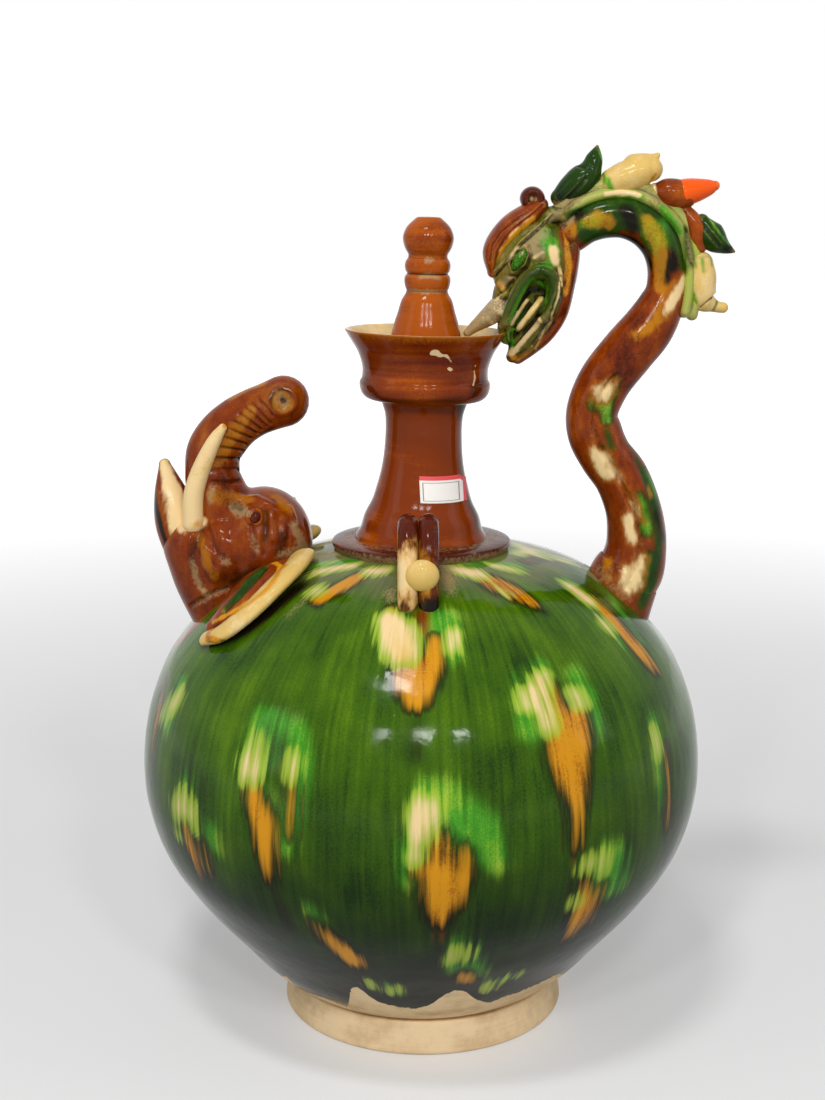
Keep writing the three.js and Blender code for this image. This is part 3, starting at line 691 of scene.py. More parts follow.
def glaze_material(
    name, tones, layers=(), streak=EVEN_STREAK, speck=0.2, shade=None, relief=False, flow=False, rims=None,
    weights=None,
):
    """A glossy glaze of three tones, with the painted layers that the piece carries.

    A layer with a colour in rims has a soft edge of it, and one with a weight under 1 is thin. On a piece
    with relief the glaze pools dark in the hollows, and with flow its streaks follow the way down.
    """
    material, wire, surface, vector = new_material(name)
    course = wire.attribute("flow", "Vector") if flow else vector
    result = mottled(wire, course, streak, tones, speck)
    if shade:
        result = shade(wire, vector, result)
    skin = wire.group("glaze_skin", {"Vector": vector}).outputs
    height, rough = skin["Height"], skin["Roughness"]
    for layer, soft, ragged, level in LAYER_LOOKS:
        if layer not in layers:
            continue
        run = wire.group("run_mask", {
            "Field": wire.attribute(layer), "Vector": course, "Streak": CRUST_STREAK if layer == "dust" else streak,
            "Soft": soft, "Ragged": ragged, "Level": level,
        }).outputs
        mask = wire.times(run["Mask"], (weights or {}).get(layer, DRY_COVER.get(layer, 1.0)))
        if rims and layer in rims:
            result = wire.mix(wire.times(run["Rim"], RIM_STRENGTH), result, rims[layer])
        if layer in DRY_COVER:
            dry = wire.group("dry_clay", {"Vector": vector, "Light": layer, "Dark": "clay_dark"}).outputs
            result = wire.mix(mask, result, dry["Color"])
            rough = wire.math("ADD", rough, wire.times(mask, DRY_ROUGHNESS), clamp=True)
            height = wire.plus(height, wire.times(wire.times(dry["Height"], mask), DRY_HEIGHT))
        else:
            result = wire.mix(mask, result, mottled(wire, course, streak, *LAYER_TONES[layer]))
    if relief:
        bend = wire.attribute("relief")
        result = wire.mix(wire.range(bend, 0.54, 0.8, 0.0, 0.8), result, "trail_and_shade")
        result = wire.mix(wire.range(bend, 0.36, 0.1, 0.0, 0.25), result, "cream_yellow")
    wire.set(surface["IOR"], GLAZE_IOR)
    wire.set(surface["Specular IOR Level"], GLAZE_SPECULAR)
    dress(wire, surface, result, rough, height, strength=0.4)
    return material


def glaze(piece, name, tones, layers, passes=4, both=True, relief=0, **looks):
    """Paints a piece's layers, keeps its relief over some passes, and gives it a glaze of its own."""
    if relief:
        keep_relief(piece, relief)
    paint(piece, layers, both, passes)
    finish_piece(piece, glaze_material(name, tones, layers, relief=relief > 0, **looks))


# Foot and body

FOOT_SHARES = [
    (0, 0), (0.5, 0), (0.95, 0), (0.982, 0.005), (0.998, 0.06), (1, 0.14), (0.992, 0.34), (0.975, 0.7),
    (0.962, 0.95), (0.95, 1.0), (0.5, 1.0), (0, 1.0),
]
BODY_SHARES = [
    (0.46, 0.004), (0.492, 0.006), (0.5966, 0.056), (0.6964, 0.127), (0.8336, 0.229), (0.9375, 0.331),
    (0.9894, 0.433), (1, 0.524), (0.9765, 0.636), (0.9172, 0.738), (0.8647, 0.79), (0.7946, 0.84), (0.6899, 0.901),
    (0.5933, 0.9415), (0.3929, 0.9822), (0.2435, 0.998),
]

RUNS_PX = {
    "lime": [
        [(313, 566, 6), (356, 560, 6)], [(455, 562, 6), (524, 566, 5)], [(433, 618, 8), (436, 655, 7)],
        [(449, 616, 9), (453, 656, 8)], [(384, 620, 7), (388, 650, 6)], [(523, 672, 6), (526, 732, 8)],
        [(540, 664, 6), (546, 734, 7)], [(574, 672, 8), (590, 720, 7)], [(592, 690, 4), (602, 734, 4)],
        [(566, 580, 5), (600, 610, 6), (624, 642, 6)], [(612, 598, 5), (640, 640, 5)],
        [(654, 716, 6), (660, 760, 7), (666, 800, 6)], [(606, 842, 4), (592, 890, 8)],
        [(618, 846, 5), (606, 894, 7)], [(628, 852, 3), (622, 890, 4)], [(424, 786, 7), (416, 846, 9)],
        [(436, 782, 5), (440, 830, 5)], [(452, 790, 8), (456, 846, 9)], [(474, 806, 7), (480, 858, 8)],
        [(494, 820, 6), (498, 868, 7)], [(407, 846, 6), (408, 884, 6)], [(457, 940, 5), (450, 972, 6)],
        [(472, 948, 5), (476, 976, 6)], [(262, 714, 8), (252, 760, 11), (254, 806, 8)],
        [(276, 716, 7), (270, 760, 6)], [(296, 726, 8), (304, 760, 9), (292, 822, 9)],
        [(281, 800, 7), (284, 850, 7)], [(181, 680, 7), (166, 726, 7)], [(186, 782, 6), (186, 830, 7)],
        [(209, 824, 6), (214, 850, 5)], [(309, 905, 4), (320, 926, 4)], [(386, 985, 4), (398, 994, 4)],
        [(488, 984, 4), (516, 976, 4)],
    ],
    "cream": [
        [(316, 572, 5), (354, 565, 4)], [(371, 571, 6), (386, 570, 5)], [(315, 590, 5), (318, 592, 5)],
        [(455, 569, 5), (478, 574, 7)], [(492, 565, 3), (522, 571, 3)], [(497, 590, 2), (514, 594, 2)],
        [(389, 619, 8), (397, 634, 13), (403, 652, 11)], [(454, 632, 4), (453, 650, 4)],
        [(525, 689, 4), (527, 708, 4)], [(540, 675, 5), (542, 700, 4), (549, 729, 5)],
        [(574, 690, 4), (582, 706, 4)], [(569, 585, 5), (590, 601, 6)], [(601, 620, 3), (612, 631, 3)],
        [(654, 729, 2.5), (659, 757, 2.5)], [(514, 543, 3), (541, 557, 3)], [(553, 558, 2), (573, 564, 2)],
        [(595, 851, 2), (592, 870, 2)], [(607, 851, 2), (601, 877, 2)], [(586, 861, 2), (582, 873, 2)],
        [(578, 895, 2), (575, 908, 2)], [(425, 803, 7), (422, 820, 9), (421, 838, 6)],
        [(435, 799, 2), (437, 822, 2)], [(416, 853, 4), (417, 862, 4)], [(458, 946, 2), (450, 964, 3)],
        [(469, 949, 2), (466, 962, 2)], [(258, 733, 3), (255, 756, 4), (254, 776, 4)],
        [(244, 757, 3), (247, 781, 3)], [(295, 754, 3), (292, 780, 3)], [(172, 696, 3), (162, 721, 3)],
        [(183, 689, 3), (174, 709, 3)], [(174, 797, 2.5), (176, 820, 3)], [(179, 789, 2), (181, 813, 3)],
        [(186, 789, 2), (188, 817, 2.5)], [(194, 805, 1.5), (195, 834, 1.5)], [(178, 833, 3), (180, 838, 3)],
        [(387, 989, 1.5), (388, 994, 1.5)], [(397, 986, 1.5), (399, 992, 1.5)], [(488, 985, 2), (490, 991, 2)],
        [(500, 982, 1.5), (504, 976, 1.5)], [(514, 978, 1.5), (519, 972, 1.5)], [(368, 981, 1.5), (370, 987, 1.5)],
    ],
    "amber": [
        [(318, 599, 6), (342, 586, 7), (364, 574, 5)],
        [(482, 577, 7), (500, 586, 11), (518, 595, 8), (537, 606, 3)], [(391, 612, 6), (396, 625, 3)],
        [(436, 638, 4), (432, 663, 7), (422, 686, 9)],
        [(406, 661, 8), (413, 682, 13), (416, 698, 8), (416, 712, 2)],
        [(547, 683, 4), (557, 712, 6), (561, 735, 9), (567, 752, 16), (571, 772, 13), (576, 793, 8), (578, 812, 5),
         (577, 832, 4), (575, 852, 3)],
        [(579, 707, 5), (580, 728, 8), (578, 750, 9)],
        [(591, 598, 5), (617, 624, 7), (640, 651, 7), (650, 664, 5), (659, 677, 2)],
        [(665, 741, 2.5), (667, 770, 3), (668, 806, 3), (668, 830, 2)], [(517, 541, 2), (572, 562, 2)],
        [(587, 874, 3), (583, 904, 6), (574, 926, 5), (566, 943, 2)], [(603, 883, 2.5), (588, 924, 3)],
        [(435, 829, 5), (431, 860, 4), (438, 890, 12), (439, 906, 10), (439, 926, 4)],
        [(449, 838, 3), (449, 876, 4)], [(469, 848, 4), (466, 874, 5), (452, 904, 5)],
        [(416, 866, 3), (418, 874, 3)], [(464, 974, 6), (467, 982, 6)],
        [(252, 782, 5), (255, 808, 7), (262, 820, 8), (264, 846, 7), (268, 868, 4), (271, 884, 2)],
        [(293, 774, 3), (293, 800, 4), (290, 838, 3)], [(165, 675, 2), (157, 720, 3), (151, 760, 2.5)],
        [(183, 818, 4), (190, 846, 5), (198, 868, 4), (206, 886, 2)], [(202, 838, 2), (210, 875, 2)],
        [(314, 918, 2), (318, 928, 3), (333, 943, 6), (350, 958, 8), (354, 963, 6)],
    ],
    "brown": [
        [(226, 590, 8), (212, 604, 9), (196, 624, 8), (176, 644, 6)], [(422, 612, 5), (423, 638, 4)],
        [(576, 846, 3), (573, 868, 2)], [(440, 926, 4), (441, 948, 2)],
    ],
    "trail_and_shade": [
        [(318, 606, 4), (322, 608, 2)], [(539, 608, 3), (546, 613, 4)],
        [(416, 712, 3), (415, 735, 3), (414, 757, 6)], [(400, 672, 2), (410, 700, 3)],
        [(434, 684, 2), (421, 705, 3)], [(566, 697, 3), (571, 728, 3)],
        [(557, 760, 2), (564, 797, 3), (571, 842, 3)], [(587, 760, 2), (585, 800, 2)],
        [(573, 868, 3), (571, 892, 4), (566, 930, 3)], [(660, 680, 2), (676, 718, 3), (688, 756, 3)],
        [(668, 826, 3), (667, 868, 4)], [(441, 944, 4), (441, 985, 5)], [(426, 890, 3), (430, 920, 5)],
        [(280, 738, 3), (278, 792, 3), (276, 826, 2)], [(272, 880, 4), (290, 930, 6)],
        [(206, 888, 3), (226, 916, 5)], [(340, 952, 3), (356, 972, 5)], [(150, 762, 3), (152, 790, 4)],
        # The last stroke, along the foot of the ear's rim, is a painted shadow
        [(404, 604, 3), (428, 606, 3), (440, 602, 3)], [(204, 642, 6), (236, 636, 7), (268, 614, 7), (303, 584, 7)],
    ],
    "dust": [
        [(312, 592, 3), (286, 618, 3)], [(316, 556, 8), (350, 552, 6)], [(390, 590, 6), (392, 602, 4)],
        [(446, 566, 6), (450, 592, 5)], [(585, 562, 4), (612, 590, 3), (650, 622, 3)],
    ],
}


BARE_EDGE_PX = [
    (286, 976), (300, 990), (330, 1000), (348, 1007), (351, 988), (357, 987), (378, 1002), (398, 1007), (416, 1009),
    (430, 1005), (446, 994), (456, 990), (465, 991), (476, 1000), (490, 1003), (500, 998), (516, 993), (536, 985),
    (558, 974),
]
# The bare clay behind: its mean height, and waves by count, height and start, in millimetres
BARE_MEAN_MM = 21.5
BARE_WAVES_MM = [(3, 2.0, 0.6), (7, 1.8, 2), (17, 1.0, 0)]
BARE_SOFT_MM = 6
BARE_SOFT_PX = 8
BARE_HEIGHT = 45 * MM
# Where the glaze starts to darken on the way down, and where it is all dark, as thick glaze and as painted shade
DARK_FROM, DARK_TO = 165 * MM, 40 * MM
# Where the dust on the shoulder starts, and where it is thick
DUST_FROM, DUST_TO = 206 * MM, 212.5 * MM
SWAY = 70 * MM


def body_darkening(wire, vector, result):
    """Darkens the glaze towards the bottom, partly where it is thick and partly as painted shade, and dulls it at the
    collar.
    """
    height = wire.add("ShaderNodeSeparateXYZ", {0: vector}).outputs["Z"]
    sway = wire.times(wire.noise(wire.stretch(vector, (60, 60, 8)), 1.0, 3.0), SWAY)
    level = wire.plus(height, wire.minus(sway, SWAY / 2))
    # Painted shade, together with thick glaze, towards the bottom
    shaded = wire.mix(wire.range(level, DARK_FROM, DARK_TO), result, "green_black")
    edge = wire.range(wire.plus(height, wire.times(sway, 0.15)), DUST_FROM, DUST_TO, 0.0, 0.3)
    return wire.mix(edge, shaded, "dust")


class EWER_OT_foot(bpy.types.Operator):
    """Builds the unglazed foot"""

    bl_idname = "ewer.foot"
    bl_label = "Foot"

    def execute(self, context):
        s = sizes()
        form = turned(rounded(profile_of(FOOT_SHARES, s.foot_radius, s.foot_height), 110), 260)
        piece = new_piece("foot_ring", form, ["foot"])
        material, wire, surface, vector = new_material("foot_clay")
        dry = wire.group("dry_clay", {"Vector": vector, "Light": "clay", "Dark": "clay_dark"}).outputs
        dress(wire, surface, dry["Color"], 0.82, dry["Height"], strength=0.5)
        finish_piece(piece, material)
        return {"FINISHED"}


class EWER_OT_body(bpy.types.Operator):
    """Builds the round body with its runs of glaze"""

    bl_idname = "ewer.body"
    bl_label = "Body"

    def execute(self, context):
        s = sizes()
        outside = profile_of(BODY_SHARES, s.body_radius, s.body_height, BODY_LOW.z)
        inside = []
        for r, z in outside:
            floor = s.wall if r < s.body_radius / 2 and z < BELLY.z / 2 else 0
            inside.append((max(r - s.wall, s.wall), z + floor))
        hole, top = s.neck_radius - 2 * s.wall, outside[-1][1]
        hollow = [outside[-1], (hole, top), (hole, top - s.wall), *reversed(inside[:-1]), (0, inside[0][1])]
        line = [(0, outside[0][1]), *rounded(outside, 232), *rounded(hollow, 26)[1:]]
        form = turned(line, s.turn_steps, (AXIS_X, 0, 0))
        piece = new_piece("body_shell", form, ["lower_body", "upper_body"])
        keep_flow(piece)
        paint(piece, RUNS_PX, passes=7)
        self.bare_the_bottom(piece)
        # The body's glaze is darker towards the bottom, partly as painted shade, and has a painted shadow under each
        # ear
        material = glaze_material(
            "body_glaze", ("green_light", "green", "green_deep"), [*RUNS_PX, "clay"], DOWN_STREAK, 0.25,
            body_darkening, flow=True, rims={"amber": "trail_and_shade", "cream": "lime_yellow"},
        )
        finish_piece(piece, material)
        return {"FINISHED"}

    def bare_the_bottom(self, piece):
        """Leaves the clay bare under the ragged edge of the photograph, and under a like one behind."""
        points = places_of(piece)
        turn = np.arctan2(points[:, 1], points[:, 0] - AXIS_X)
        edge = BARE_MEAN_MM
        for count, rise, start in BARE_WAVES_MM:
            edge = edge + rise * np.sin(count * turn + start)
        behind = 0.5 + (edge * MM - points[:, 2]) / (BARE_SOFT_MM * MM)
        u, v = seen_at(points)
        before = 0.5 + (v - np.interp(u, *zip(*BARE_EDGE_PX))) / BARE_SOFT_PX
        low = (points[:, 1] < 0) & (points[:, 2] < BARE_HEIGHT)
        keep_field(piece, "clay", np.where(low, before, behind))


# Collar, neck, mouth, stopper and label

COLLAR_SHARES = [
    (0.42, -1.2), (0.9, -1.2), (0.96, -0.6), (0.985, -0.1), (1, 0.3), (0.992, 0.62), (0.94, 0.82), (0.74, 0.98),
    (0.42, 1), (0.42, -1.2),
]
NECK_SHARES = [
    (1.02, -0.05), (1, 0), (0.93, 0.06), (0.871, 0.155), (0.76, 0.265), (0.69, 0.377), (0.634, 0.487),
    (0.599, 0.597), (0.582, 0.707), (0.578, 0.815), (0.592, 0.9), (0.64, 0.975), (0.662, 1.01),
]
DISH_SHARES = [
    (0.33, 0.0), (0.5, 0), (0.62, 0.005), (0.72, 0.035), (0.775, 0.1), (0.802, 0.2), (0.8, 0.26), (0.778, 0.31),
    (0.77, 0.38), (0.772, 0.46), (0.79, 0.55), (0.84, 0.7), (0.91, 0.83), (0.975, 0.95), (0.99, 0.985),
    (0.975, 1.0), (0.945, 0.985), (0.88, 0.91), (0.75, 0.72), (0.64, 0.5), (0.58, 0.43), (0.5, 0.412), (0.33, 0.41),
    (0.322, 0.3), (0.322, 0.1), (0.33, 0),
]
STOPPER_SHARES = [
    (1.5, 0.0), (1.53, 0.015), (1.5, 0.06), (1.42, 0.19), (1.3, 0.295), (1.14, 0.38), (1.0, 0.46), (0.86, 0.5),
    (0.82, 0.52), (0.88, 0.548), (0.91, 0.585), (0.88, 0.615), (0.81, 0.632), (0.87, 0.65), (0.9, 0.68),
    (0.87, 0.71), (0.78, 0.735), (0.78, 0.755), (0.9, 0.79), (0.98, 0.83), (1, 0.861), (0.96, 0.895), (0.84, 0.935),
    (0.6, 0.975), (0.42, 0.996), (0.33, 0.99), (0.26, 0.97), (0.1, 0.963), (0, 0.962),
]
# Shares of the dish's height: the seat of the stopper, the inside, and the amber edge
DISH_SEAT_SHARE = 0.41
DISH_INSIDE_SHARE = 0.62
DISH_EDGE_SHARE = 0.16
# The dust on the collar: how far under its top, and how far out in its radius
COLLAR_DUST_DEPTH = 2.2 * MM
COLLAR_DUST_SHARE = 0.86
PLUG_SHARES = [(0, -1), (0.8, -1), (0.94, -0.97), (1, -0.88), (1, -0.4), (1.02, -0.03)]
DISH_CHIPS_PX = [
    [(431, 354, 2), (435, 352, 3), (441, 356, 2)], [(446, 355, 1.8), (449, 359, 1.2), (452, 363, 1.6)],
    [(448, 368, 1.2), (451, 370, 1.8)], [(476, 364, 1.4), (474, 370, 0.9), (475, 378, 1.4), (473, 386, 1)],
    [(466, 353, 1), (472, 357, 1)], [(489, 352, 0.8), (486, 357, 0.8)],
]
# Painted shade along the dish's sides and its underside, in the trail layer
DISH_SHADE_PX = [
    [(345, 348, 2), (362, 376, 3), (374, 394, 4)], [(474, 392, 5), (489, 372, 5), (494, 352, 3)],
    [(380, 400, 3), (420, 403, 3), (460, 400, 3)],
]
# Painted shade on the neck: along its sides and under the dish, in the brown layer and more darkly in the trail layer
NECK_SHADE_PX = [
    [(464, 404, 8), (464, 440, 9), (470, 480, 10), (488, 520, 9)],
    [(384, 402, 7), (400, 397, 9), (430, 395, 10), (460, 398, 9)],
    [(383, 410, 3), (382, 450, 4), (370, 500, 4), (352, 532, 4)],
]
NECK_EDGE_SHADE_PX = [
    [(464, 404, 8), (464, 440, 9), (470, 480, 9), (488, 518, 9)], [(386, 399, 3), (420, 402, 3), (462, 400, 5)],
]
STOPPER_CRUST_PX = [
    [(420, 277, 2), (430, 276, 3), (441, 278, 1.5)], [(409, 290, 1.6), (426, 292, 2.4), (444, 291, 1.4)],
    [(428, 260, 3), (433, 260, 2)],
]


class EWER_OT_collar(bpy.types.Operator):
    """Builds the flat collar that the neck stands on"""

    bl_idname = "ewer.collar"
    bl_label = "Collar"

    def execute(self, context):
        s = sizes()
        profile = profile_of(COLLAR_SHARES, s.collar_radius, s.collar_height, COLLAR_HIGH.z - s.collar_height)
        form = turned(rounded(profile, 100), 240, (AXIS_X, 0, 0))
        piece = new_piece("collar", form, ["collar_ring"])
        points = places_of(piece)
        reach = np.hypot(points[:, 0] - AXIS_X, points[:, 1]) / s.collar_radius
        low = np.clip((COLLAR_HIGH.z - COLLAR_DUST_DEPTH - points[:, 2]) / MM, -1, 1)
        keep_field(piece, "dust", np.maximum(0.52 + 0.3 * low, 0.5 * (reach < COLLAR_DUST_SHARE)))
        tones = ("brown", "brown_deep", "brown_deep")
        finish_piece(piece, glaze_material("collar_glaze", tones, ["dust"], ROUND_STREAK))
        return {"FINISHED"}


class EWER_OT_neck(bpy.types.Operator):
    """Builds the waisted neck"""

    bl_idname = "ewer.neck"
    bl_label = "Neck"

    def execute(self, context):
        s = sizes()
        outside = profile_of(NECK_SHARES, s.neck_radius, s.neck_height, GAP)
        inside = [(max(min(r - s.wall, s.neck_radius - 2 * s.wall), s.bore_radius), z) for r, z in reversed(outside)]
        form = turned(rounded([*outside, *inside, outside[0]], 200), 240)
        piece = new_piece("neck_tube", form, ["neck"], place=LEANING)
        # Painted shade down the neck's sides and under the dish
        layers = {"brown": NECK_SHADE_PX, "trail_and_shade": NECK_EDGE_SHADE_PX}
        tones = ("brown_light", "brown", "brown")
        glaze(piece, "neck_glaze", tones, layers, passes=10, streak=ROUND_STREAK, weights={"trail_and_shade": 0.85})
        return {"FINISHED"}


def dish_shades(wire, vector, result):
    """Straw glaze inside the dish, with an amber edge that fades down the outside."""
    drips = wire.minus(wire.noise(wire.stretch(vector, (800, 800, 30)), 1.0), 0.5)
    result = wire.mix(wire.range(wire.plus(wire.attribute("edge"), drips), 0.4, 0.9), result, "amber_deep")
    blotch = wire.range(wire.noise(vector, 130.0, 3.0), 0.42, 0.66)
    inside = wire.plus(wire.attribute("inside"), wire.times(drips, 0.3))
    return wire.mix(wire.range(inside, 0.4, 0.6), result, wire.mix(blotch, "cream", "cream_yellow"))


class EWER_OT_mouth(bpy.types.Operator):
    """Builds the dished mouth"""

    bl_idname = "ewer.mouth"
    bl_label = "Mouth"

    def execute(self, context):
        s = sizes()
        profile = profile_of(DISH_SHARES, s.rim_radius, s.dish_height, s.neck_height + GAP)
        form = turned(rounded(profile, 240), 280)
        piece = new_piece("mouth_dish", form, ["mouth_bowl"], place=LEANING)
        self.keep_inside(piece)
        # The dish carries painted shade along its sides and underside
        glaze(
            piece, "mouth_glaze", ("brown_light", "brown", "maroon"), {"clay": DISH_CHIPS_PX, "trail_and_shade": DISH_SHADE_PX},
            both=False, streak=ROUND_STREAK, shade=dish_shades, weights={"trail_and_shade": 0.5},
        )
        return {"FINISHED"}

    def keep_inside(self, piece):
        """Keeps where the dish is open to the sky, and how near its edge each point is."""
        s = sizes()
        back = np.array(LEANING.inverted())
        points = places_of(piece) @ back[:3, :3].T + back[:3, 3]
        facing = normals_of(piece)
        depth = (s.neck_height + s.dish_height - points[:, 2]) / s.dish_height
        reach = np.hypot(points[:, 0], points[:, 1])
        towards = (facing[:, 0] * points[:, 0] + facing[:, 1] * points[:, 1]) / np.maximum(reach, TINY)
        sky = 0.5 + 0.5 * np.clip((facing[:, 2] - towards - 0.5) * 4, -1, 1)
        keep_field(piece, "inside", (depth < DISH_INSIDE_SHARE) * sky)
        keep_field(piece, "edge", 1 - depth / DISH_EDGE_SHARE)


class EWER_OT_stopper(bpy.types.Operator):
    """Builds the stopper that lifts out"""

    bl_idname = "ewer.stopper"
    bl_label = "Stopper"

    def execute(self, context):
        s = sizes()
        seat = s.neck_height + 3 * GAP + DISH_SEAT_SHARE * s.dish_height
        plug = profile_of(PLUG_SHARES, s.bore_radius - 3 * GAP, s.plug_length, seat)
        above = profile_of(STOPPER_SHARES, s.knob_radius, s.stopper_height, seat)
        form = turned(rounded([*plug, *above], 240), 180)
        piece = new_piece("lift_out_stopper", form, ["stopper"], "stopper", LEANING)
        tones = ("brown_light", "brown_light", "brown")
        layers = {"dust": STOPPER_CRUST_PX}
        glaze(piece, "stopper_glaze", tones, layers, passes=6, both=False, relief=1, streak=ROUND_STREAK)
        return {"FINISHED"}


# Where the label's corner is cut, which way, and how much the label slants
LABEL_CUT = Vector((0.35, 0.5, 0))
LABEL_CUT_WAY = Vector((0.62, 0.5, 0)).normalized()
LABEL_SLANT = 0.06
LABEL_GLUE = 0.12 * MM
PAPER_THICKNESS = 0.2 * MM


def label_material():
    """White paper with a printed red band along its top and its right edge."""
    material, wire, surface, vector = new_material("label_paper_print")
    place = wire.add("ShaderNodeUVMap", uv_map="sheet").outputs[0]
    parts = wire.add("ShaderNodeSeparateXYZ", {0: place}).outputs
    top = wire.range(parts["Y"], 0.83, 0.85)
    right = wire.range(parts["X"], 0.915, 0.925)
    corner = wire.range(wire.plus(parts["X"], wire.times(parts["Y"], 0.6)), 1.36, 1.37)
    red = wire.math("MAXIMUM", wire.math("MAXIMUM", top, right), corner)
    across, up = (
        wire.minus(wire.math("ABSOLUTE", wire.minus(parts[axis], middle)), half)
        for axis, middle, half in (("X", 0.45, 0.38), ("Y", 0.42, 0.33))
    )
    line = wire.range(wire.math("ABSOLUTE", wire.math("MAXIMUM", across, up)), 0.014, 0.008, 0.0, 0.8)
    fibre = wire.noise(vector, 2500.0, 3.0)
    paper = wire.mix(line, wire.mix(wire.range(fibre, 0.3, 0.7, 0.0, 0.15), "paper", "clay"), "brown_deep")
    dress(wire, surface, wire.mix(red, paper, "paper_red"), 0.55, fibre, strength=0.2, depth=PAPER_THICKNESS)
    return material


class EWER_OT_label(bpy.types.Operator):
    """Builds the blank paper label on the neck"""

    bl_idname = "ewer.label"
    bl_label = "Label"

    def execute(self, context):
        low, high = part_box("blank_label")
        width, tall = high.x - low.x, high.z - low.z
        form = bmesh.new()
        bmesh.ops.create_grid(form, x_segments=40, y_segments=26, size=0.5)
        sheet = form.loops.layers.uv.new("sheet")
        for face in form.faces:
            for loop in face.loops:
                loop[sheet].uv = (loop.vert.co.x + 0.5, loop.vert.co.y + 0.5)
        bmesh.ops.bisect_plane(
            form, geom=form.verts[:] + form.edges[:] + form.faces[:], dist=TINY, plane_co=LABEL_CUT,
            plane_no=LABEL_CUT_WAY, clear_outer=True,
        )
        tree = tree_of(bpy.data.objects["neck_tube"])
        for vert in form.verts:
            across, up = vert.co.x + 0.5, vert.co.y + 0.5
            x = low.x + (across - vert.co.y * LABEL_SLANT / 2) * width
            z = low.z + (up * (1 - LABEL_SLANT) + (1 - across) * LABEL_SLANT) * tall
            place, facing, _, _ = tree.ray_cast(Vector((x, -0.2, z)), Y_AXIS)
            vert.co = place + facing * LABEL_GLUE
        piece = new_piece("paper_label", form, ["blank_label"])
        thick = piece.modifiers.new("Paper", "SOLIDIFY")
        thick.thickness = PAPER_THICKNESS
        thick.offset = 1
        finish_piece(baked(piece), label_material())
        return {"FINISHED"}


# The side that faces the camera and the far one, each by the sign of its y
SIDES = (("front", -1), ("back", 1))


# Lugs

# How far the cream and amber reach from a lug's seat, and how deep the dark glaze lies at its foot
LUG_GLAZE_REACH = 19 * MM
LUG_POOL_DEPTH = 3 * MM

LUG_SHARES = [(0.06, -0.2), (0.04, 0.37), (-0.09, 0.78), (-0.39, 1), (-0.69, 0.87), (-0.84, 0.5), (-0.88, 0.05)]


class EWER_OT_lugs(bpy.types.Operator):
    """Builds the two cord lugs, each of two rolls and a button"""

    bl_idname = "ewer.lugs"
    bl_label = "Lugs"

    def execute(self, context):
        s = sizes()
        roll = s.lug_roll_radius
        roll_glaze = glaze_material("lug_glaze", DARK_TONES, ["cream", "amber", "trail_and_shade"], speck=0.5)
        button_glaze = glaze_material("button_glaze", CREAM_TONES)
        for side, face in SIDES:
            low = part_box(f"lug_{side}_left")[0]
            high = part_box(f"lug_{side}_right")[1]
            middle = (low.x + high.x) / 2
            base = low.z + 0.2 * s.lug_height
            for hand, turn in (("left", -1), ("right", 1)):
                x = middle + turn * roll
                rows = [
                    (x, face * (s.lug_seat + out * s.lug_height), base + up * s.lug_height, 0.99 * roll)
                    for out, up in LUG_SHARES
                ]
                name = f"lug_{side}_{hand}"
                piece = new_piece(f"{name}_roll", limb(rows, steps=60, sides=36), [name])
                points = places_of(piece)
                seat = np.array((middle - roll, face * s.lug_seat, base + 0.3 * s.lug_height))
                reach = np.linalg.norm((points - seat) * np.array((1, 0.7, 1)), axis=1) / LUG_GLAZE_REACH
                keep_field(piece, "cream", 0.86 - reach - 0.14 * turn)
                keep_field(piece, "amber", 1.04 - reach - 0.05 * turn)
                keep_field(piece, "trail_and_shade", 0.5 + (base - points[:, 2]) / LUG_POOL_DEPTH)
                finish_piece(piece, roll_glaze)
            low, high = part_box(f"lug_button_{side}")
            centre = (low + high) / 2
            centre.y = face * (s.lug_seat + roll)
            form = bmesh.new()
            add_blob(form, centre, ((high.x - low.x) / 2, roll, (high.z - low.z) / 2), across=40, down=26)
            finish_piece(new_piece(f"button_{side}", form, [f"lug_button_{side}"]), button_glaze)
        return {"FINISHED"}


# Heads

class Head:
    """A head's measures: its places are shares of its height from x and z, where it sits."""

    def __init__(self, x, z, height):
        self.x = x
        self.z = z
        self.height = height

    def rows(self, shares, y=0.0):
        tall = getattr(sizes(), self.height)
        return [(self.x + x * tall, y * tall, self.z + z * tall, r * tall) for x, z, r in shares]

    def lump(self, form, place, spread, radii, turn=0.0):
        tall = getattr(sizes(), self.height)
        centre = Vector((self.x + place[0] * tall, spread * tall, self.z + place[1] * tall))
        add_blob(form, centre, [r * tall for r in radii], turn)


# Dragon

MOUTH_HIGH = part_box("mouth_bowl")[1]
RIM_EDGE = Vector((MOUTH_HIGH.x + 0.75 * MM, 0, MOUTH_HIGH.z - 0.6 * MM))
DRAGON = Head(RIM_EDGE.x, RIM_EDGE.z, "dragon_height")

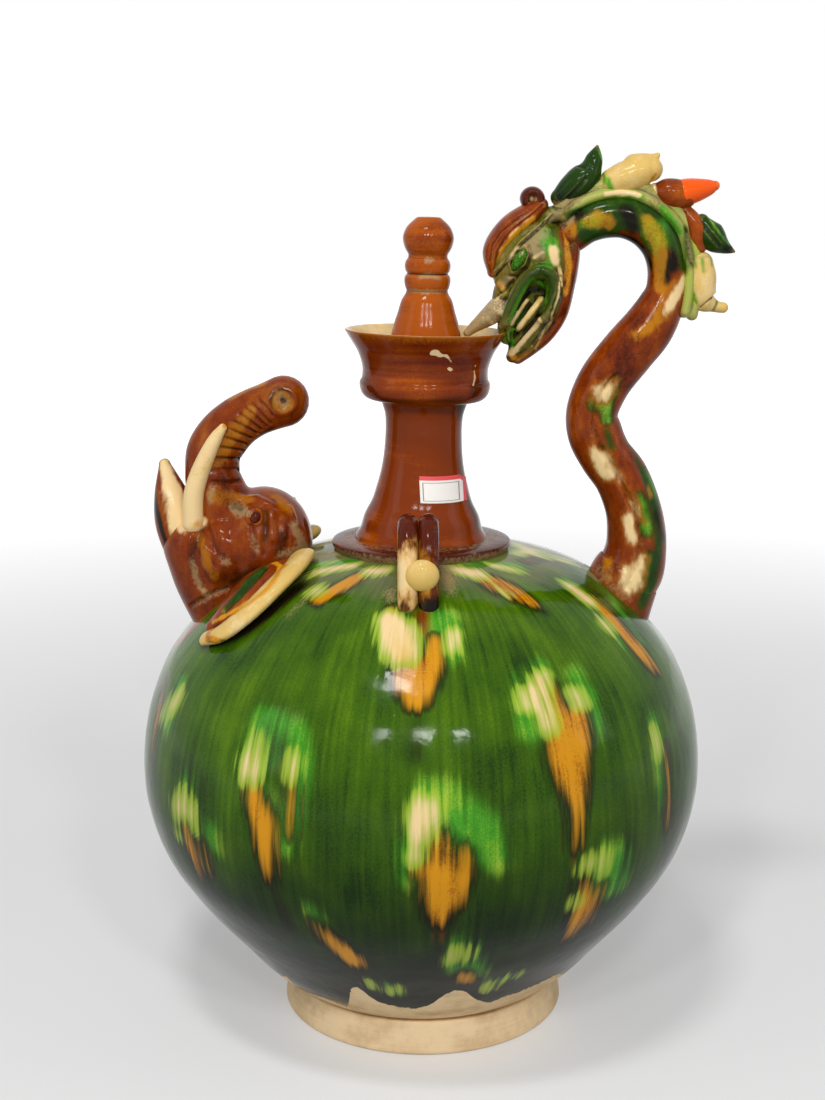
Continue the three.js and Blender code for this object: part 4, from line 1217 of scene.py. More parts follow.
NAPE_SHARES = [
    (0.45, 0.635, 0.05), (0.442, 0.5, 0.058), (0.406, 0.3, 0.064), (0.361, 0.102, 0.06), (0.271, -0.047, 0.053),
    (0.158, -0.15, 0.046), (0.07, -0.215, 0.04),
]
CROWN_SHARES = [(0.188, 0.7, 0.056), (0.284, 0.79, 0.064), (0.396, 0.805, 0.056)]
MUZZLE_SHARES = [(0.13, 0.36, 0.2), (0.02, 0.25, 0.14), (-0.045, 0.15, 0.09)]
JAW_SHARES = [(0.28, 0.15, 0.14), (0.18, 0, 0.105), (0.085, -0.115, 0.075), (0.03, -0.2, 0.045)]
TEETH_SHARES = [(0.235, 0.2, 0.06), (0.14, 0.1, 0.058), (0.075, 0.03, 0.05)]
LIP_SHARES = [
    (-0.03, 0.06, 0.035), (0.0, 0.157, 0.045), (0.061, 0.29, 0.05), (0.12, 0.375, 0.052), (0.19, 0.41, 0.054),
    (0.265, 0.395, 0.055), (0.3, 0.3, 0.055), (0.285, 0.18, 0.05), (0.235, 0.09, 0.04),
]
MOUTH_FILL_SHARES = [(0.13, 0.2, 0.11), (0.05, 0.1, 0.1), (-0.005, 0.02, 0.075), (-0.01, -0.06, 0.055)]
CREST_SHARES = [
    (-0.11, 0.4, 0.045), (-0.1, 0.54, 0.088), (0.005, 0.69, 0.1), (0.12, 0.785, 0.088), (0.215, 0.86, 0.06),
]
BRIDGE_SHARES = [
    (0.0, 0.2, 0.085), (-0.06, 0.15, 0.085), (-0.14, 0.085, 0.07), (-0.23, 0.02, 0.045), (-0.29, -0.03, 0.03),
]


FACE_CUTS_PX = [
    [(494, 277, 1.2), (510, 259, 1.2), (523, 243, 1.2), (540, 228, 1.2), (552, 216, 1.0)],
    [(497, 297, 1.6), (506, 288, 1.4), (513, 280, 1.2)],
    [(509, 276, 1.3), (517, 277, 1.4), (526, 268, 1.4), (531, 256, 1.2), (529, 246, 1.0)],
    [(522, 299, 2.6), (529, 290, 3.2), (538, 287, 3.0), (543, 293, 2.2)], [(530, 303, 1.3), (514, 329, 1.3)],
    [(521, 302, 1.1), (509, 322, 1.1)], [(541, 313, 1.5), (513, 346, 1.5)],
    [(532, 346, 1.0), (549, 320, 1.0), (558, 296, 1.0), (560, 276, 1.0)], [(504, 330, 1.6), (506, 342, 1.6)],
]
FACE_RIDGES_PX = [
    [(512, 272, 1.3), (509, 263, 1.2), (516, 251, 1.2), (525, 245, 1.2), (529, 253, 1.2), (525, 265, 1.2),
     (513, 273, 1.2)],
    [(502, 326, 2.6), (508, 308, 3.4), (519, 287, 3.8), (530, 274, 4), (542, 268, 4), (552, 275, 4), (556, 290, 4),
     (552, 306, 3.4), (544, 318, 2.6)],
    [(526, 300, 2.0), (511, 324, 2.0)], [(540, 298, 2.4), (517, 330, 2.4)], [(540, 321, 2.6), (510, 354, 2.6)],
    [(497, 283, 3.4), (503, 287, 3.4)], [(503, 296, 2.4), (506, 294, 2.4)],
    [(494, 272, 1.2), (509, 256, 1.2), (522, 240, 1.2), (539, 226, 1.2), (551, 214, 1.0)],
    [(535, 349, 1.2), (551, 322, 1.2), (561, 296, 1.2), (562, 274, 1.2)],
]
FACE_LAYERS_PX = {
    "lime": [
        [(512, 318, 5), (520, 296, 3), (530, 281, 3), (540, 279, 3), (547, 288, 3), (546, 300, 3)],
        [(545, 236, 7), (552, 250, 7)], [(501, 318, 3), (505, 306, 3)], [(540, 265, 4), (551, 266, 4)],
        [(515, 262, 2), (520, 254, 2)], [(508, 336, 4), (512, 346, 3)], [(524, 312, 3), (513, 330, 3)],
    ],
    "cream": [
        [(526, 300, 2.0), (511, 324, 2.4)], [(541, 298, 2.8), (518, 329, 3.2)], [(540, 320, 2.8), (511, 353, 3.4)],
        [(553, 250, 4), (556, 262, 4)], [(559, 268, 2), (561, 286, 1.6)], [(534, 258, 1.6), (543, 252, 1.6)],
        [(532, 347, 1.4), (550, 321, 1.4), (559, 296, 1.4), (560, 281, 1.4)],
        [(494, 274, 1.2), (510, 257, 1.2), (523, 241, 1.2), (539, 227, 1.2), (551, 215, 1.4)],
    ],
    "amber": [
        [(508, 351, 3), (514, 357, 3)], [(498, 284, 3), (502, 287, 3)],
        [(566, 232, 3), (569, 262, 3.4), (565, 292, 3)],
    ],
    "brown": [
        [(512, 366, 5), (526, 360, 6), (542, 348, 7), (557, 330, 8), (566, 306, 9), (572, 282, 9), (576, 258, 10),
         (582, 238, 10)],
        [(564, 226, 5), (566, 246, 5)],
    ],
    "green": [
        [(502, 327, 2.4), (508, 308, 3.2), (519, 287, 3.6), (530, 274, 3.8), (542, 269, 3.8), (551, 276, 3.8),
         (555, 290, 3.8), (551, 306, 3.2), (543, 318, 2.4)],
        [(529, 291, 2.4), (538, 288, 2.6)], [(511, 332, 1.4), (508, 350, 1.4)], [(530, 303, 1.0), (515, 329, 1.0)],
    ],
    "trail_and_shade": [[(524, 298, 1.6), (531, 291, 2), (539, 290, 1.8)], ring_px(520, 260, 9, 1.6)],
    "dust": [
        [(554, 216, 6), (564, 214, 6)], [(498, 303, 3), (503, 300, 2)],
        [(540, 232, 9), (528, 246, 6), (540, 254, 5)], [(502, 284, 4), (512, 276, 3)],
    ],
}
EYE_LAYERS_PX = {"cream": [[(520, 256, 1.3), (523, 252, 1.2)]], "trail_and_shade": [[(516, 269, 1.2), (516, 270, 1.2)]]}
EYE_TURN = math.radians(-57)
CREST_CUTS_PX = [
    [(495, 270, 1.0), (498, 252, 1.1), (505, 239, 1.1), (518, 226, 1.1), (534, 214, 1.1), (543, 205, 0.9)],
    [(489, 262, 0.9), (491, 246, 1.0), (500, 232, 1.0), (513, 221, 1.0), (527, 212, 0.9)],
    [(499, 266, 0.9), (507, 251, 1.0), (519, 238, 1.0), (535, 224, 0.9), (546, 211, 0.8)],
]
CREST_LAYERS_PX = {
    "amber": [[(498, 264, 2.4), (504, 248, 3), (518, 232, 3.2), (533, 219, 2.6)]],
    "cream": [[(498, 252, 0.7), (506, 240, 0.7), (518, 227, 0.7), (533, 215, 0.7)]],
}
CURL_CENTRE = (0.152, 0.902)
CURL_LAYERS_PX = {"dust": [[(532, 199, 4), (533, 200, 4)]]}


class EWER_OT_dragon_face(bpy.types.Operator):
    """Builds the dragon's head, with its jaw, lips and teeth in one skin"""

    bl_idname = "ewer.dragon_face"
    bl_label = "Dragon's face"

    def execute(self, context):
        form = bmesh.new()
        DRAGON.lump(form, (0.18, 0.465), 0, (0.315, 0.225, 0.315))
        DRAGON.lump(form, (0.3, 0.22), 0, (0.145, 0.2, 0.22))
        for shares, shape in (
            (NAPE_SHARES, {"flat": 2.3}), (CROWN_SHARES, {"flat": 1.6}), (MUZZLE_SHARES, {}),
            (JAW_SHARES, {"flat": 1.3}), (TEETH_SHARES, {"flat": 3.6, "sides": 48}), (MOUTH_FILL_SHARES, {"flat": 1.7}),
        ):
            add_limb(form, DRAGON.rows(shares), **shape)
        for hand in (-1, 1):
            add_limb(form, DRAGON.rows(LIP_SHARES, 0.2 * hand), flat=1.5)
            DRAGON.lump(form, (-0.025, 0.25), 0.13 * hand, (0.045, 0.04, 0.04))
        nodes = ["dragon_head", "dragon_lower_jaw", "dragon_teeth"]
        nodes += [f"dragon_{part}_{side}" for part in ("lip", "nostril") for side in ("front", "back")]
        piece = new_piece("dragon_face", form, nodes)
        fuse(piece, voxel=0.42 * MM, passes=8)
        carve(piece, FACE_RIDGES_PX, 0.8 * MM)
        carve(piece, FACE_CUTS_PX, -1.0 * MM)
        glaze(piece, "dragon_glaze", ("olive_light", "olive", "green_deep"), FACE_LAYERS_PX, relief=5)
        return {"FINISHED"}


class EWER_OT_dragon_eyes(bpy.types.Operator):
    """Builds the dragon's almond eyes"""

    bl_idname = "ewer.dragon_eyes"
    bl_label = "Dragon's eyes"

    def execute(self, context):
        material = glaze_material("dragon_eye_glaze", ("lime", "green", "green_deep"), EYE_LAYERS_PX, speck=0.6)
        for side, hand in SIDES:
            form = bmesh.new()
            DRAGON.lump(form, (0.062, 0.493), 0.205 * hand, (0.086, 0.05, 0.04), EYE_TURN)
            piece = new_piece(f"eye_of_dragon_{side}", form, [f"dragon_eye_{side}"])
            paint(piece, EYE_LAYERS_PX)
            finish_piece(piece, material)
        return {"FINISHED"}


class EWER_OT_crest(bpy.types.Operator):
    """Builds the dragon's crest, swept back in strands to a curl"""

    bl_idname = "ewer.crest"
    bl_label = "Crest"

    def execute(self, context):
        form = limb(DRAGON.rows(CREST_SHARES), flat=1.7, steps=80, sides=56)
        piece = new_piece("swept_crest", form, ["dragon_crest"])
        fuse(piece, voxel=0.38 * MM, passes=3)
        carve(piece, CREST_CUTS_PX, -0.7 * MM)
        glaze(piece, "crest_glaze", BROWN_TONES, CREST_LAYERS_PX, relief=5)
        x, z = CURL_CENTRE
        coil = []
        for i in range(19):
            turn = math.radians(-60 + i * 25)
            reach = 0.064 - 0.0018 * i
            coil.append((x + reach * math.cos(turn), z + reach * math.sin(turn), 0.04 - 0.0006 * i))
        form = bmesh.new()
        DRAGON.lump(form, CURL_CENTRE, 0, (0.034, 0.08, 0.034))
        add_limb(form, DRAGON.rows(coil), flat=2.4, steps=90, sides=30)
        piece = new_piece("curl_of_crest", form, ["crest_curl"])
        glaze(piece, "curl_glaze", DARK_TONES, CURL_LAYERS_PX, passes=1)
        return {"FINISHED"}


LUMP_SHARES = [
    (-0.03, -0.07, 0.235, 0.04), (-0.07, 0.05, 0.21, 0.045), (-0.11, -0.06, 0.14, 0.045), (-0.06, -0.1, 0.12, 0.04),
    (-0.15, 0.03, 0.125, 0.035), (-0.17, -0.05, 0.075, 0.035), (-0.01, -0.08, 0.17, 0.04),
    (-0.21, 0.02, 0.06, 0.026),
]
LUMP_LAYERS_PX = {
    "dust": [[(470, 338, 4), (482, 326, 6), (494, 312, 6)]], "brown": [[(486, 340, 3), (498, 332, 3)]],
    "cream": [[(488, 318, 2), (494, 326, 2)]],
}


class EWER_OT_rim_lump(bpy.types.Operator):
    """Builds the rough lump of clay that joins the dragon's mouth to the rim"""

    bl_idname = "ewer.rim_lump"
    bl_label = "Lump on the rim"

    def execute(self, context):
        form = limb(DRAGON.rows(BRIDGE_SHARES), flat=1.4, steps=40, sides=40)
        for x, y, z, size in LUMP_SHARES:
            DRAGON.lump(form, (x, z), y, (size, size, 0.8 * size))
        piece = new_piece("rim_lump", form, ["rim_bridge"])
        fuse(piece, voxel=0.45 * MM, passes=2)
        glaze(piece, "lump_crust", ("clay", "dust", "clay_dark"), LUMP_LAYERS_PX, passes=2, relief=2, speck=0.6)
        return {"FINISHED"}


# Handle and mane

HANDLE_SHARES = [
    (0.4, 0.956, 0.64), (0.487, 0.9835, 0.7), (0.603, 1.0, 0.745), (0.734, 1, 0.758), (0.863, 0.9755, 0.742),
    (0.958, 0.933, 0.733), (1, 0.8745, 0.69), (1, 0.814, 0.717), (0.967, 0.772, 0.817), (0.89, 0.715, 0.925),
    (0.767, 0.654, 0.958), (0.615, 0.57, 0.95), (0.546, 0.49, 0.933), (0.57, 0.437, 0.983), (0.637, 0.381, 0.95),
    (0.746, 0.321, 0.975), (0.825, 0.241, 1), (0.852, 0.18, 1.058), (0.853, 0.128, 1.108), (0.827, 0.078, 1.208),
    (0.779, 0.044, 1.29), (0.716, -0.06, 1.25),
]
# The height at which the handle meets the shoulder
HANDLE_SEAT = 188.3 * MM
ARCH_STEPS = 400
# Places of the mane's band, as shares of the handle's line
MANE_SHARES = [0.01, 0.055, 0.1, 0.145, 0.19, 0.235, 0.28, 0.325, 0.37]
HANDLE_CUTS_PX = [
    [(617, 374, 1.2), (602, 390, 1.8), (595, 408, 2.2), (593, 429, 2.4), (599, 445, 2.4), (609, 462, 2.2),
     (621, 484, 2.2), (632, 505, 2.2), (638, 524, 2.4), (640, 545, 2.4), (636, 566, 2.2), (627, 588, 2.0)],
]
HANDLE_CRACK_PX = [[(626, 358, 0.5), (640, 355, 0.5), (651, 354, 0.5)]]
HANDLE_LAYERS_PX = {
    "lime": [
        [(613, 385, 3), (606, 402, 4), (608, 420, 3)], [(597, 396, 3), (594, 404, 3)],
        [(648, 558, 4), (643, 590, 4)], [(640, 500, 3), (646, 530, 4)],
        [(588, 224, 6), (600, 222, 8), (612, 226, 5)], [(644, 218, 5), (654, 230, 8), (660, 246, 7)],
        [(664, 218, 4), (678, 240, 5)], [(662, 470, 3), (670, 500, 3)], [(600, 450, 2), (612, 470, 2)],
    ],
    "cream": [
        [(601, 383, 3), (596, 398, 3)], [(612, 383, 3), (604, 398, 3.4)],
        [(594, 452, 3.4), (600, 466, 4.4), (606, 476, 4)],
        [(603, 452, 1.8), (617, 473, 1.8), (632, 500, 1.8), (641, 522, 2)], [(627, 518, 4), (634, 540, 4)],
        [(628, 568, 4), (625, 586, 4)], [(642, 556, 3.4), (636, 582, 4.4), (632, 592, 4)],
        [(684, 279, 3), (677, 292, 4.4), (670, 305, 4), (663, 315, 2)],
    ],
    "amber": [
        [(647, 488, 2.4), (652, 497, 2.4)], [(661, 540, 1.4), (663, 556, 1.6)], [(607, 560, 4), (606, 578, 4)],
        [(593, 458, 2), (597, 470, 2)], [(629, 526, 2), (633, 545, 2)],
        [(678, 284, 5), (672, 296, 6), (664, 310, 6), (650, 326, 4), (636, 336, 4)],
        [(588, 222, 5), (600, 220, 7), (610, 224, 5)], [(646, 220, 5), (654, 232, 7), (660, 250, 6), (658, 288, 4)],
        [(571, 222, 3), (572, 240, 3)],
    ],
    "green": [
        [(578, 212, 6), (596, 205, 6), (620, 202, 7), (642, 206, 7), (658, 214, 6)],
        [(584, 236, 7), (600, 238, 5), (616, 218, 9), (634, 222, 8)], [(672, 226, 7), (682, 250, 7), (686, 276, 6)],
        [(664, 252, 5), (672, 262, 5)],
        [(650, 420, 0.8), (633, 450, 2), (646, 480, 4), (656, 510, 5), (660, 545, 5), (652, 580, 6), (642, 606, 6)],
        [(606, 430, 3), (612, 448, 3)], [(694, 300, 3), (684, 330, 3), (664, 362, 3)],
    ],
    "trail_and_shade": [
        [(566, 222, 4), (580, 214, 4)], [(668, 256, 6), (674, 266, 6)], [(662, 266, 4), (666, 280, 4)],
        [(626, 210, 6), (634, 230, 4)], [(610, 242, 4), (630, 242, 4), (645, 254, 4), (652, 268, 3)],
        [(656, 512, 3), (664, 540, 3)], [(690, 318, 3), (668, 358, 3)],
    ],
    "dust": [
        [(595, 418, 1.6), (593, 432, 1.8), (600, 448, 1.6)],
        [(640, 530, 1.4), (641, 550, 1.5), (634, 574, 1.4), (627, 588, 1.6)], [(562, 214, 5), (566, 226, 3)],
        [(590, 566, 3), (612, 584, 3), (630, 602, 3)],
    ],
}


def handle_rows():
    s = sizes()
    top = RIM_EDGE.z + s.handle_rise
    return [
        (RIM_EDGE.x + x * s.handle_reach, 0, HANDLE_SEAT + z * (top - HANDLE_SEAT), r * s.handle_girth)
        for x, z, r in HANDLE_SHARES
    ]


class EWER_OT_handle(bpy.types.Operator):
    """Builds the handle, the dragon's long neck"""

    bl_idname = "ewer.handle"
    bl_label = "Handle"

    def execute(self, context):
        form = limb(handle_rows(), steps=330, sides=96)
        piece = new_piece("neck_of_dragon", form, ["dragon_neck"])
        carve(piece, HANDLE_CUTS_PX, -1.9 * MM)
        carve(piece, HANDLE_CRACK_PX, -0.35 * MM, both=False)
        rims = {"lime": "green_deep", "cream": "amber_deep"}
        weights = {"amber": 0.55}
        glaze(
            piece, "handle_glaze", BROWN_TONES, HANDLE_LAYERS_PX, passes=9, relief=3, rims=rims, weights=weights,
        )
        return {"FINISHED"}


MANE_LAYERS_PX = {
    "lime": [
        [(572, 214, 3), (588, 206, 5), (606, 200, 5)], [(616, 196, 4), (640, 197, 4)],
        [(662, 208, 4), (680, 232, 4)],
    ],
    "green": [
        [(566, 216, 3), (586, 208, 4), (604, 204, 3)],
        [(620, 204, 3), (640, 206, 3), (662, 220, 3), (676, 240, 4), (684, 268, 5)], [(686, 230, 4), (692, 262, 5)],
    ],
    "cream": [[(606, 194, 2), (622, 192, 3), (640, 195, 2)]],
    "dust": [
        [(556, 214, 5), (566, 205, 5), (584, 196, 3)], [(640, 188, 3), (668, 206, 3)],
        [(688, 236, 3), (693, 262, 3)],
    ],
    "trail_and_shade": [
        [(570, 218, 1.2), (590, 210, 1.2), (615, 206, 1.2), (640, 209, 1.2), (662, 222, 1.2), (676, 248, 1.2),
         (683, 280, 1.2)],
    ],
}


class EWER_OT_mane(bpy.types.Operator):
    """Builds the pale band of the mane along the arch"""

    bl_idname = "ewer.mane"
    bl_label = "Mane"

    def execute(self, context):
        thick = sizes().mane_thickness
        line = rounded(handle_rows(), ARCH_STEPS)
        form = bmesh.new()
        for lift, girth, flat in ((0.2, 1.35, 2.3), (2.0, 1.2, 1.5)):
            rows = []
            for share in MANE_SHARES:
                i = round(share * ARCH_STEPS)
                along = (line[i + 1].to_3d() - line[i - 1].to_3d()).normalized()
                outwards = along.cross(Y_AXIS).normalized()
                rows.append((*(line[i].to_3d() + outwards * (line[i][3] + lift * thick)), girth * thick))
            add_limb(form, rows, flat=flat, steps=150, sides=40)
        piece = new_piece("band_of_mane", form, ["mane_band"])
        fuse(piece, voxel=0.5 * MM, passes=3)
        glaze(piece, "mane_glaze", ("lime_yellow", "olive_pale", "olive"), MANE_LAYERS_PX, relief=5)
        return {"FINISHED"}


# For each lock: its slot and tones, its limb, and what is painted and carved on it
LOCK_LOOKS = {
    "mane_lock_1": ("dark_green_glaze", DEEP_GREEN_TONES),
    "mane_lock_2": ("cream_glaze", CREAM_TONES),
    "mane_lock_3": ("brown_glaze", BROWN_TONES),
    "mane_lock_3_tip": ("orange_glaze", ("orange", "orange", "paper_red")),
    "mane_lock_4": ("brown_glaze", BROWN_TONES),
    "mane_lock_4_tip": ("dark_green_glaze", DEEP_GREEN_TONES),
    "mane_lock_5": ("cream_glaze", CREAM_TONES),
}
LOCK_SHARES = {
    "mane_lock_1": [
        (0.345, 0.915, 0.06), (0.41, 0.965, 0.088), (0.485, 1.02, 0.106), (0.545, 1.075, 0.098),
        (0.575, 1.135, 0.072), (0.59, 1.19, 0.058), (0.6, 1.23, 0.036), (0.607, 1.262, 0.014),
    ],
    "mane_lock_2": [
        (0.725, 1.02, 0.1), (0.79, 1.045, 0.112), (0.87, 1.075, 0.114), (0.93, 1.097, 0.108), (0.962, 1.104, 0.1),
        (0.982, 1.106, 0.088),
    ],
    "mane_lock_3": [(1.02, 0.96, 0.056), (1.08, 0.955, 0.092), (1.16, 0.94, 0.106), (1.225, 0.93, 0.094)],
    "mane_lock_3_tip": [
        (1.22, 0.945, 0.1), (1.27, 0.958, 0.092), (1.33, 0.97, 0.078), (1.385, 0.982, 0.062), (1.42, 0.991, 0.048),
        (1.437, 0.996, 0.036),
    ],
    "mane_lock_4": [
        (1.238, 0.82, 0.05), (1.262, 0.785, 0.062), (1.295, 0.73, 0.074), (1.325, 0.65, 0.08), (1.338, 0.58, 0.06),
    ],
    "mane_lock_4_tip": [
        (1.355, 0.755, 0.05), (1.405, 0.67, 0.1), (1.462, 0.612, 0.088), (1.52, 0.572, 0.052), (1.57, 0.548, 0.024),
        (1.592, 0.54, 0.01),
    ],
    "mane_lock_5": [
        (1.358, 0.455, 0.088), (1.365, 0.377, 0.102), (1.37, 0.275, 0.102), (1.392, 0.2, 0.088),
        (1.455, 0.164, 0.05), (1.5, 0.15, 0.04), (1.525, 0.148, 0.04),
    ],
}
# A second, thinner limb of a lock
LOCK_POINT_SHARES = {
    "mane_lock_2": [(0.88, 1.12, 0.1), (0.95, 1.15, 0.076), (1.0, 1.178, 0.046), (1.03, 1.204, 0.02)],
}
LOCK_LAYERS_PX = {
    "mane_lock_1": {
        "lime": [[(599, 150, 1), (603, 164, 1.2), (600, 182, 1.2)]], "dust": [[(552, 204, 3), (572, 204, 3)]],
    },
    "mane_lock_2": {
        "lime": [[(608, 180, 2.4), (611, 190, 3)], [(603, 172, 1.6), (605, 182, 2)]],
        "amber": [[(648, 184, 1.4), (656, 174, 1.4)]], "dust": [[(632, 194, 1.6), (646, 188, 1.6)]],
    },
    "mane_lock_3": {"cream": [[(652, 186, 3), (655, 194, 2.4)]], "dust": [[(662, 178, 1.6), (672, 177, 1.2)]]},
    "mane_lock_3_tip": {"brown": [[(692, 206, 2), (700, 204, 1.6)]]},
    "mane_lock_4": {"dust": [[(682, 214, 1), (688, 238, 1), (692, 250, 1)]]},
    "mane_lock_4_tip": {
        "lime": [[(704, 212, 1), (716, 228, 1), (730, 246, 0.8)]], "trail_and_shade": [[(726, 248, 3), (734, 252, 3)]],
    },
    "mane_lock_5": {
        "lime": [
            [(694, 258, 1.4), (696, 268, 1)], [(702, 258, 1.6), (704, 272, 1.2)], [(711, 258, 1.4), (712, 266, 1)],
            [(693, 294, 2.4), (696, 302, 2)],
        ],
        "green": [[(713, 311, 1), (717, 302, 1), (719, 294, 0.8)]], "dust": [[(692, 258, 1.4), (714, 256, 1.2)]],
    },
}
LOCK_CUTS_PX = {
    "mane_lock_1": [[(562, 203, 1.4), (574, 192, 1.4), (586, 178, 1.4)], [(579, 166, 1.6), (590, 168, 2)]],
    "mane_lock_4_tip": [[(704, 226, 1.4), (720, 246, 1.4)]], "mane_lock_5": [[(712, 298, 1.2), (700, 308, 1.2)]],
}


class EWER_OT_locks(bpy.types.Operator):
    """Builds the locks of the mane, each with its own glaze"""

    bl_idname = "ewer.locks"
    bl_label = "Locks"

    def execute(self, context):
        for name, (slot, tones) in LOCK_LOOKS.items():
            form = limb(DRAGON.rows(LOCK_SHARES[name]), flat=1.15, steps=110, sides=72)
            if name in LOCK_POINT_SHARES:
                add_limb(form, DRAGON.rows(LOCK_POINT_SHARES[name]), flat=1.15, steps=60, sides=48)
            piece = new_piece(name.replace("mane_lock", "lock"), form, [name])
            fuse(piece, voxel=0.42 * MM, passes=3)
            carve(piece, LOCK_CUTS_PX.get(name, []), -0.6 * MM)
            glaze(piece, f"{name}_glaze", tones, LOCK_LAYERS_PX[name], relief=3, speck=0.15)
        return {"FINISHED"}


# Elephant

ELEPHANT = Head(AXIS_X - 79.08 * MM, 196 * MM, "elephant_height")
THROAT_SHARES = [(-0.07, -0.2, 0.165), (-0.138, 0.008, 0.19), (-0.199, 0.174, 0.183)]
BROW_SHARES = [(-0.088, 0.352, 0.156), (-0.132, 0.5, 0.133)]
TRUNK_SHARES = [
    (-0.132, 0.46, 0.13), (-0.132, 0.519, 0.132), (-0.124, 0.619, 0.131), (-0.077, 0.697, 0.129),
    (-0.006, 0.766, 0.122), (0.073, 0.813, 0.117), (0.151, 0.844, 0.118), (0.218, 0.869, 0.124),
]
ELEPHANT_JAW_SHARES = [
    (-0.24, 0.05, 0.09), (-0.266, 0.13, 0.1), (-0.31, 0.286, 0.106), (-0.338, 0.43, 0.078), (-0.361, 0.563, 0.029),
]
MOUTH_SHARES = [(-0.25, 0.16, 0.06), (-0.275, 0.33, 0.06), (-0.295, 0.485, 0.058), (-0.3, 0.67, 0.06)]
TUSK_SHARES = [
    (-0.213, 0.298, 0.051), (-0.206, 0.438, 0.049), (-0.176, 0.539, 0.045), (-0.132, 0.64, 0.039),
    (-0.093, 0.713, 0.031), (-0.061, 0.759, 0.02),
]
EAR_BLADE_SHARES = [
    (-0.1, 0.42, 0.03, 0.04), (-0.02, 0.44, 0.04, 0.085), (0.1, 0.41, 0.045, 0.11), (0.2, 0.34, 0.045, 0.09),
    (0.265, 0.26, 0.04, 0.05),
]
EAR_RIM_SHARES = [
    (-0.11, 0.522, 0.045, 0.046), (-0.032, 0.588, 0.052, 0.057), (0.09, 0.6, 0.06, 0.062),
    (0.207, 0.535, 0.064, 0.064), (0.284, 0.413, 0.062, 0.066), (0.312, 0.285, 0.055, 0.068),
]
TRUNK_RINGS_PX = [
    [(215, 470, 1.4), (240, 470, 1.6)], [(216, 458, 1.4), (241, 459, 1.6)], [(219, 447, 1.3), (244, 451, 1.5)],
    [(224, 437, 1.2), (248, 445, 1.4)], [(229, 429, 1.1), (253, 439, 1.3)], [(234, 421, 1.1), (258, 434, 1.2)],
    [(240, 414, 1.0), (262, 430, 1.2)], [(246, 408, 1.0), (267, 427, 1.1)], [(252, 403, 1.0), (271, 424, 1.1)],
    [(259, 399, 1.0), (273, 416, 1.0)],
]
TRUNK_TIP_PX = (282, 400)
TRUNK_LAYERS_PX = {
    "trail_and_shade": [
        [(240, 470, 3), (246, 452, 3), (258, 438, 2.4), (272, 428, 2)], [(214, 476, 2), (240, 478, 2.4)],
        ring_px(281, 399, 10, 1.8),
    ],
    "amber": [
        [(218, 462, 6), (224, 446, 6), (236, 428, 6), (250, 412, 5)], [(230, 398, 5), (248, 389, 5), (262, 384, 4)],
        ring_px(283, 402, 8, 2.6),
    ],
    "dust": [[(280, 398, 6), (284, 402, 6)]],
}
HEAD_CUTS_PX = [
    [(203, 528, 3.0), (196, 542, 3.8), (192, 560, 4), (195, 576, 3.6), (202, 588, 3)],
    [(207, 526, 2.6), (212, 544, 3.2), (222, 560, 3)],
    [(264, 508, 2), (266, 526, 2.6), (263, 544, 2.6), (264, 554, 2)],
    [(251, 526, 2), (253, 538, 2.6), (256, 550, 2)], [(228, 502, 3), (240, 508, 3.4)],
    [(212, 482, 1.8), (226, 483, 1.8), (240, 481, 1.8)], [(190, 606, 2), (208, 596, 2.4), (228, 588, 2)],
]
HEAD_RIDGES_PX = [
    [(218, 530, 8), (230, 542, 9), (238, 552, 7)], [(203, 546, 4), (206, 564, 4.4), (213, 577, 4)],
    [(240, 499, 4), (256, 498, 4), (270, 505, 4)], [(272, 512, 4), (273, 538, 4)], [(282, 520, 3), (284, 536, 3)],
    [(290, 508, 3), (296, 524, 3)], ring_px(255, 517, 7.5, 1.8),
]
HEAD_LAYERS_PX = {
    "amber": [
        [(212, 494, 6), (230, 498, 6), (248, 499, 5)], [(199, 536, 4), (206, 562, 4), (214, 578, 4)],
        [(278, 498, 6), (292, 508, 6)],
    ],
    "trail_and_shade": [
        [(202, 534, 2), (192, 552, 2), (192, 574, 2)], [(267, 512, 2.4), (266, 540, 2.6)],
        [(214, 480, 1.4), (240, 479, 1.6)], [(232, 582, 2), (258, 567, 2)], [(284, 534, 4), (280, 550, 5)],
    ],
    "dust": [
        [(242, 509, 4), (250, 515, 3)], [(192, 560, 2.4), (198, 582, 2.8), (206, 594, 3)],
        [(222, 558, 3), (228, 563, 3)], [(253, 536, 2.6), (257, 552, 2.6)], [(212, 488, 3), (210, 502, 3)],
        [(280, 555, 3), (308, 547, 3)], [(196, 604, 2), (228, 586, 2)], [(294, 526, 5), (302, 542, 6)],
        [(232, 506, 4), (241, 513, 5)],
    ],
    "cream": [[(184, 522, 4), (196, 526, 4), (204, 520, 3)], [(180, 500, 4), (182, 530, 4)]],
}
JAW_LAYERS_PX = {
    "cream": [[(165, 462, 4), (170, 482, 7), (177, 502, 9), (181, 524, 10)]],
    "amber": [[(166, 461, 2.4), (161, 470, 1.6)], [(184, 538, 4), (186, 554, 4)]],
    "trail_and_shade": [[(154, 478, 3), (155, 504, 3.6), (162, 532, 3), (168, 548, 2)]],
}
TUSK_LAYERS_PX = {"amber": [[(190, 526, 2), (203, 522, 2)], [(224, 426, 1.6), (230, 422, 1.8)]]}
EAR_LAYERS_PX = {
    "brown": [[(280, 556, 3), (252, 560, 4), (236, 572, 4), (228, 584, 4), (214, 600, 5), (206, 614, 6)]],
    "green": [[(264, 568, 4), (252, 580, 6), (238, 596, 5), (226, 608, 2.4)]],
    "lime": [[(262, 571, 2.4), (248, 584, 1.6), (234, 601, 1.4), (222, 612, 1)]],
    "amber": [[(213, 622, 1.6), (240, 608, 2), (262, 594, 2.2), (276, 578, 2.4), (281, 567, 2.4), (272, 560, 2)]],
}
EAR_CUTS_PX = [[(266, 567, 3), (253, 580, 4.4), (238, 597, 3.6), (224, 611, 2)]]
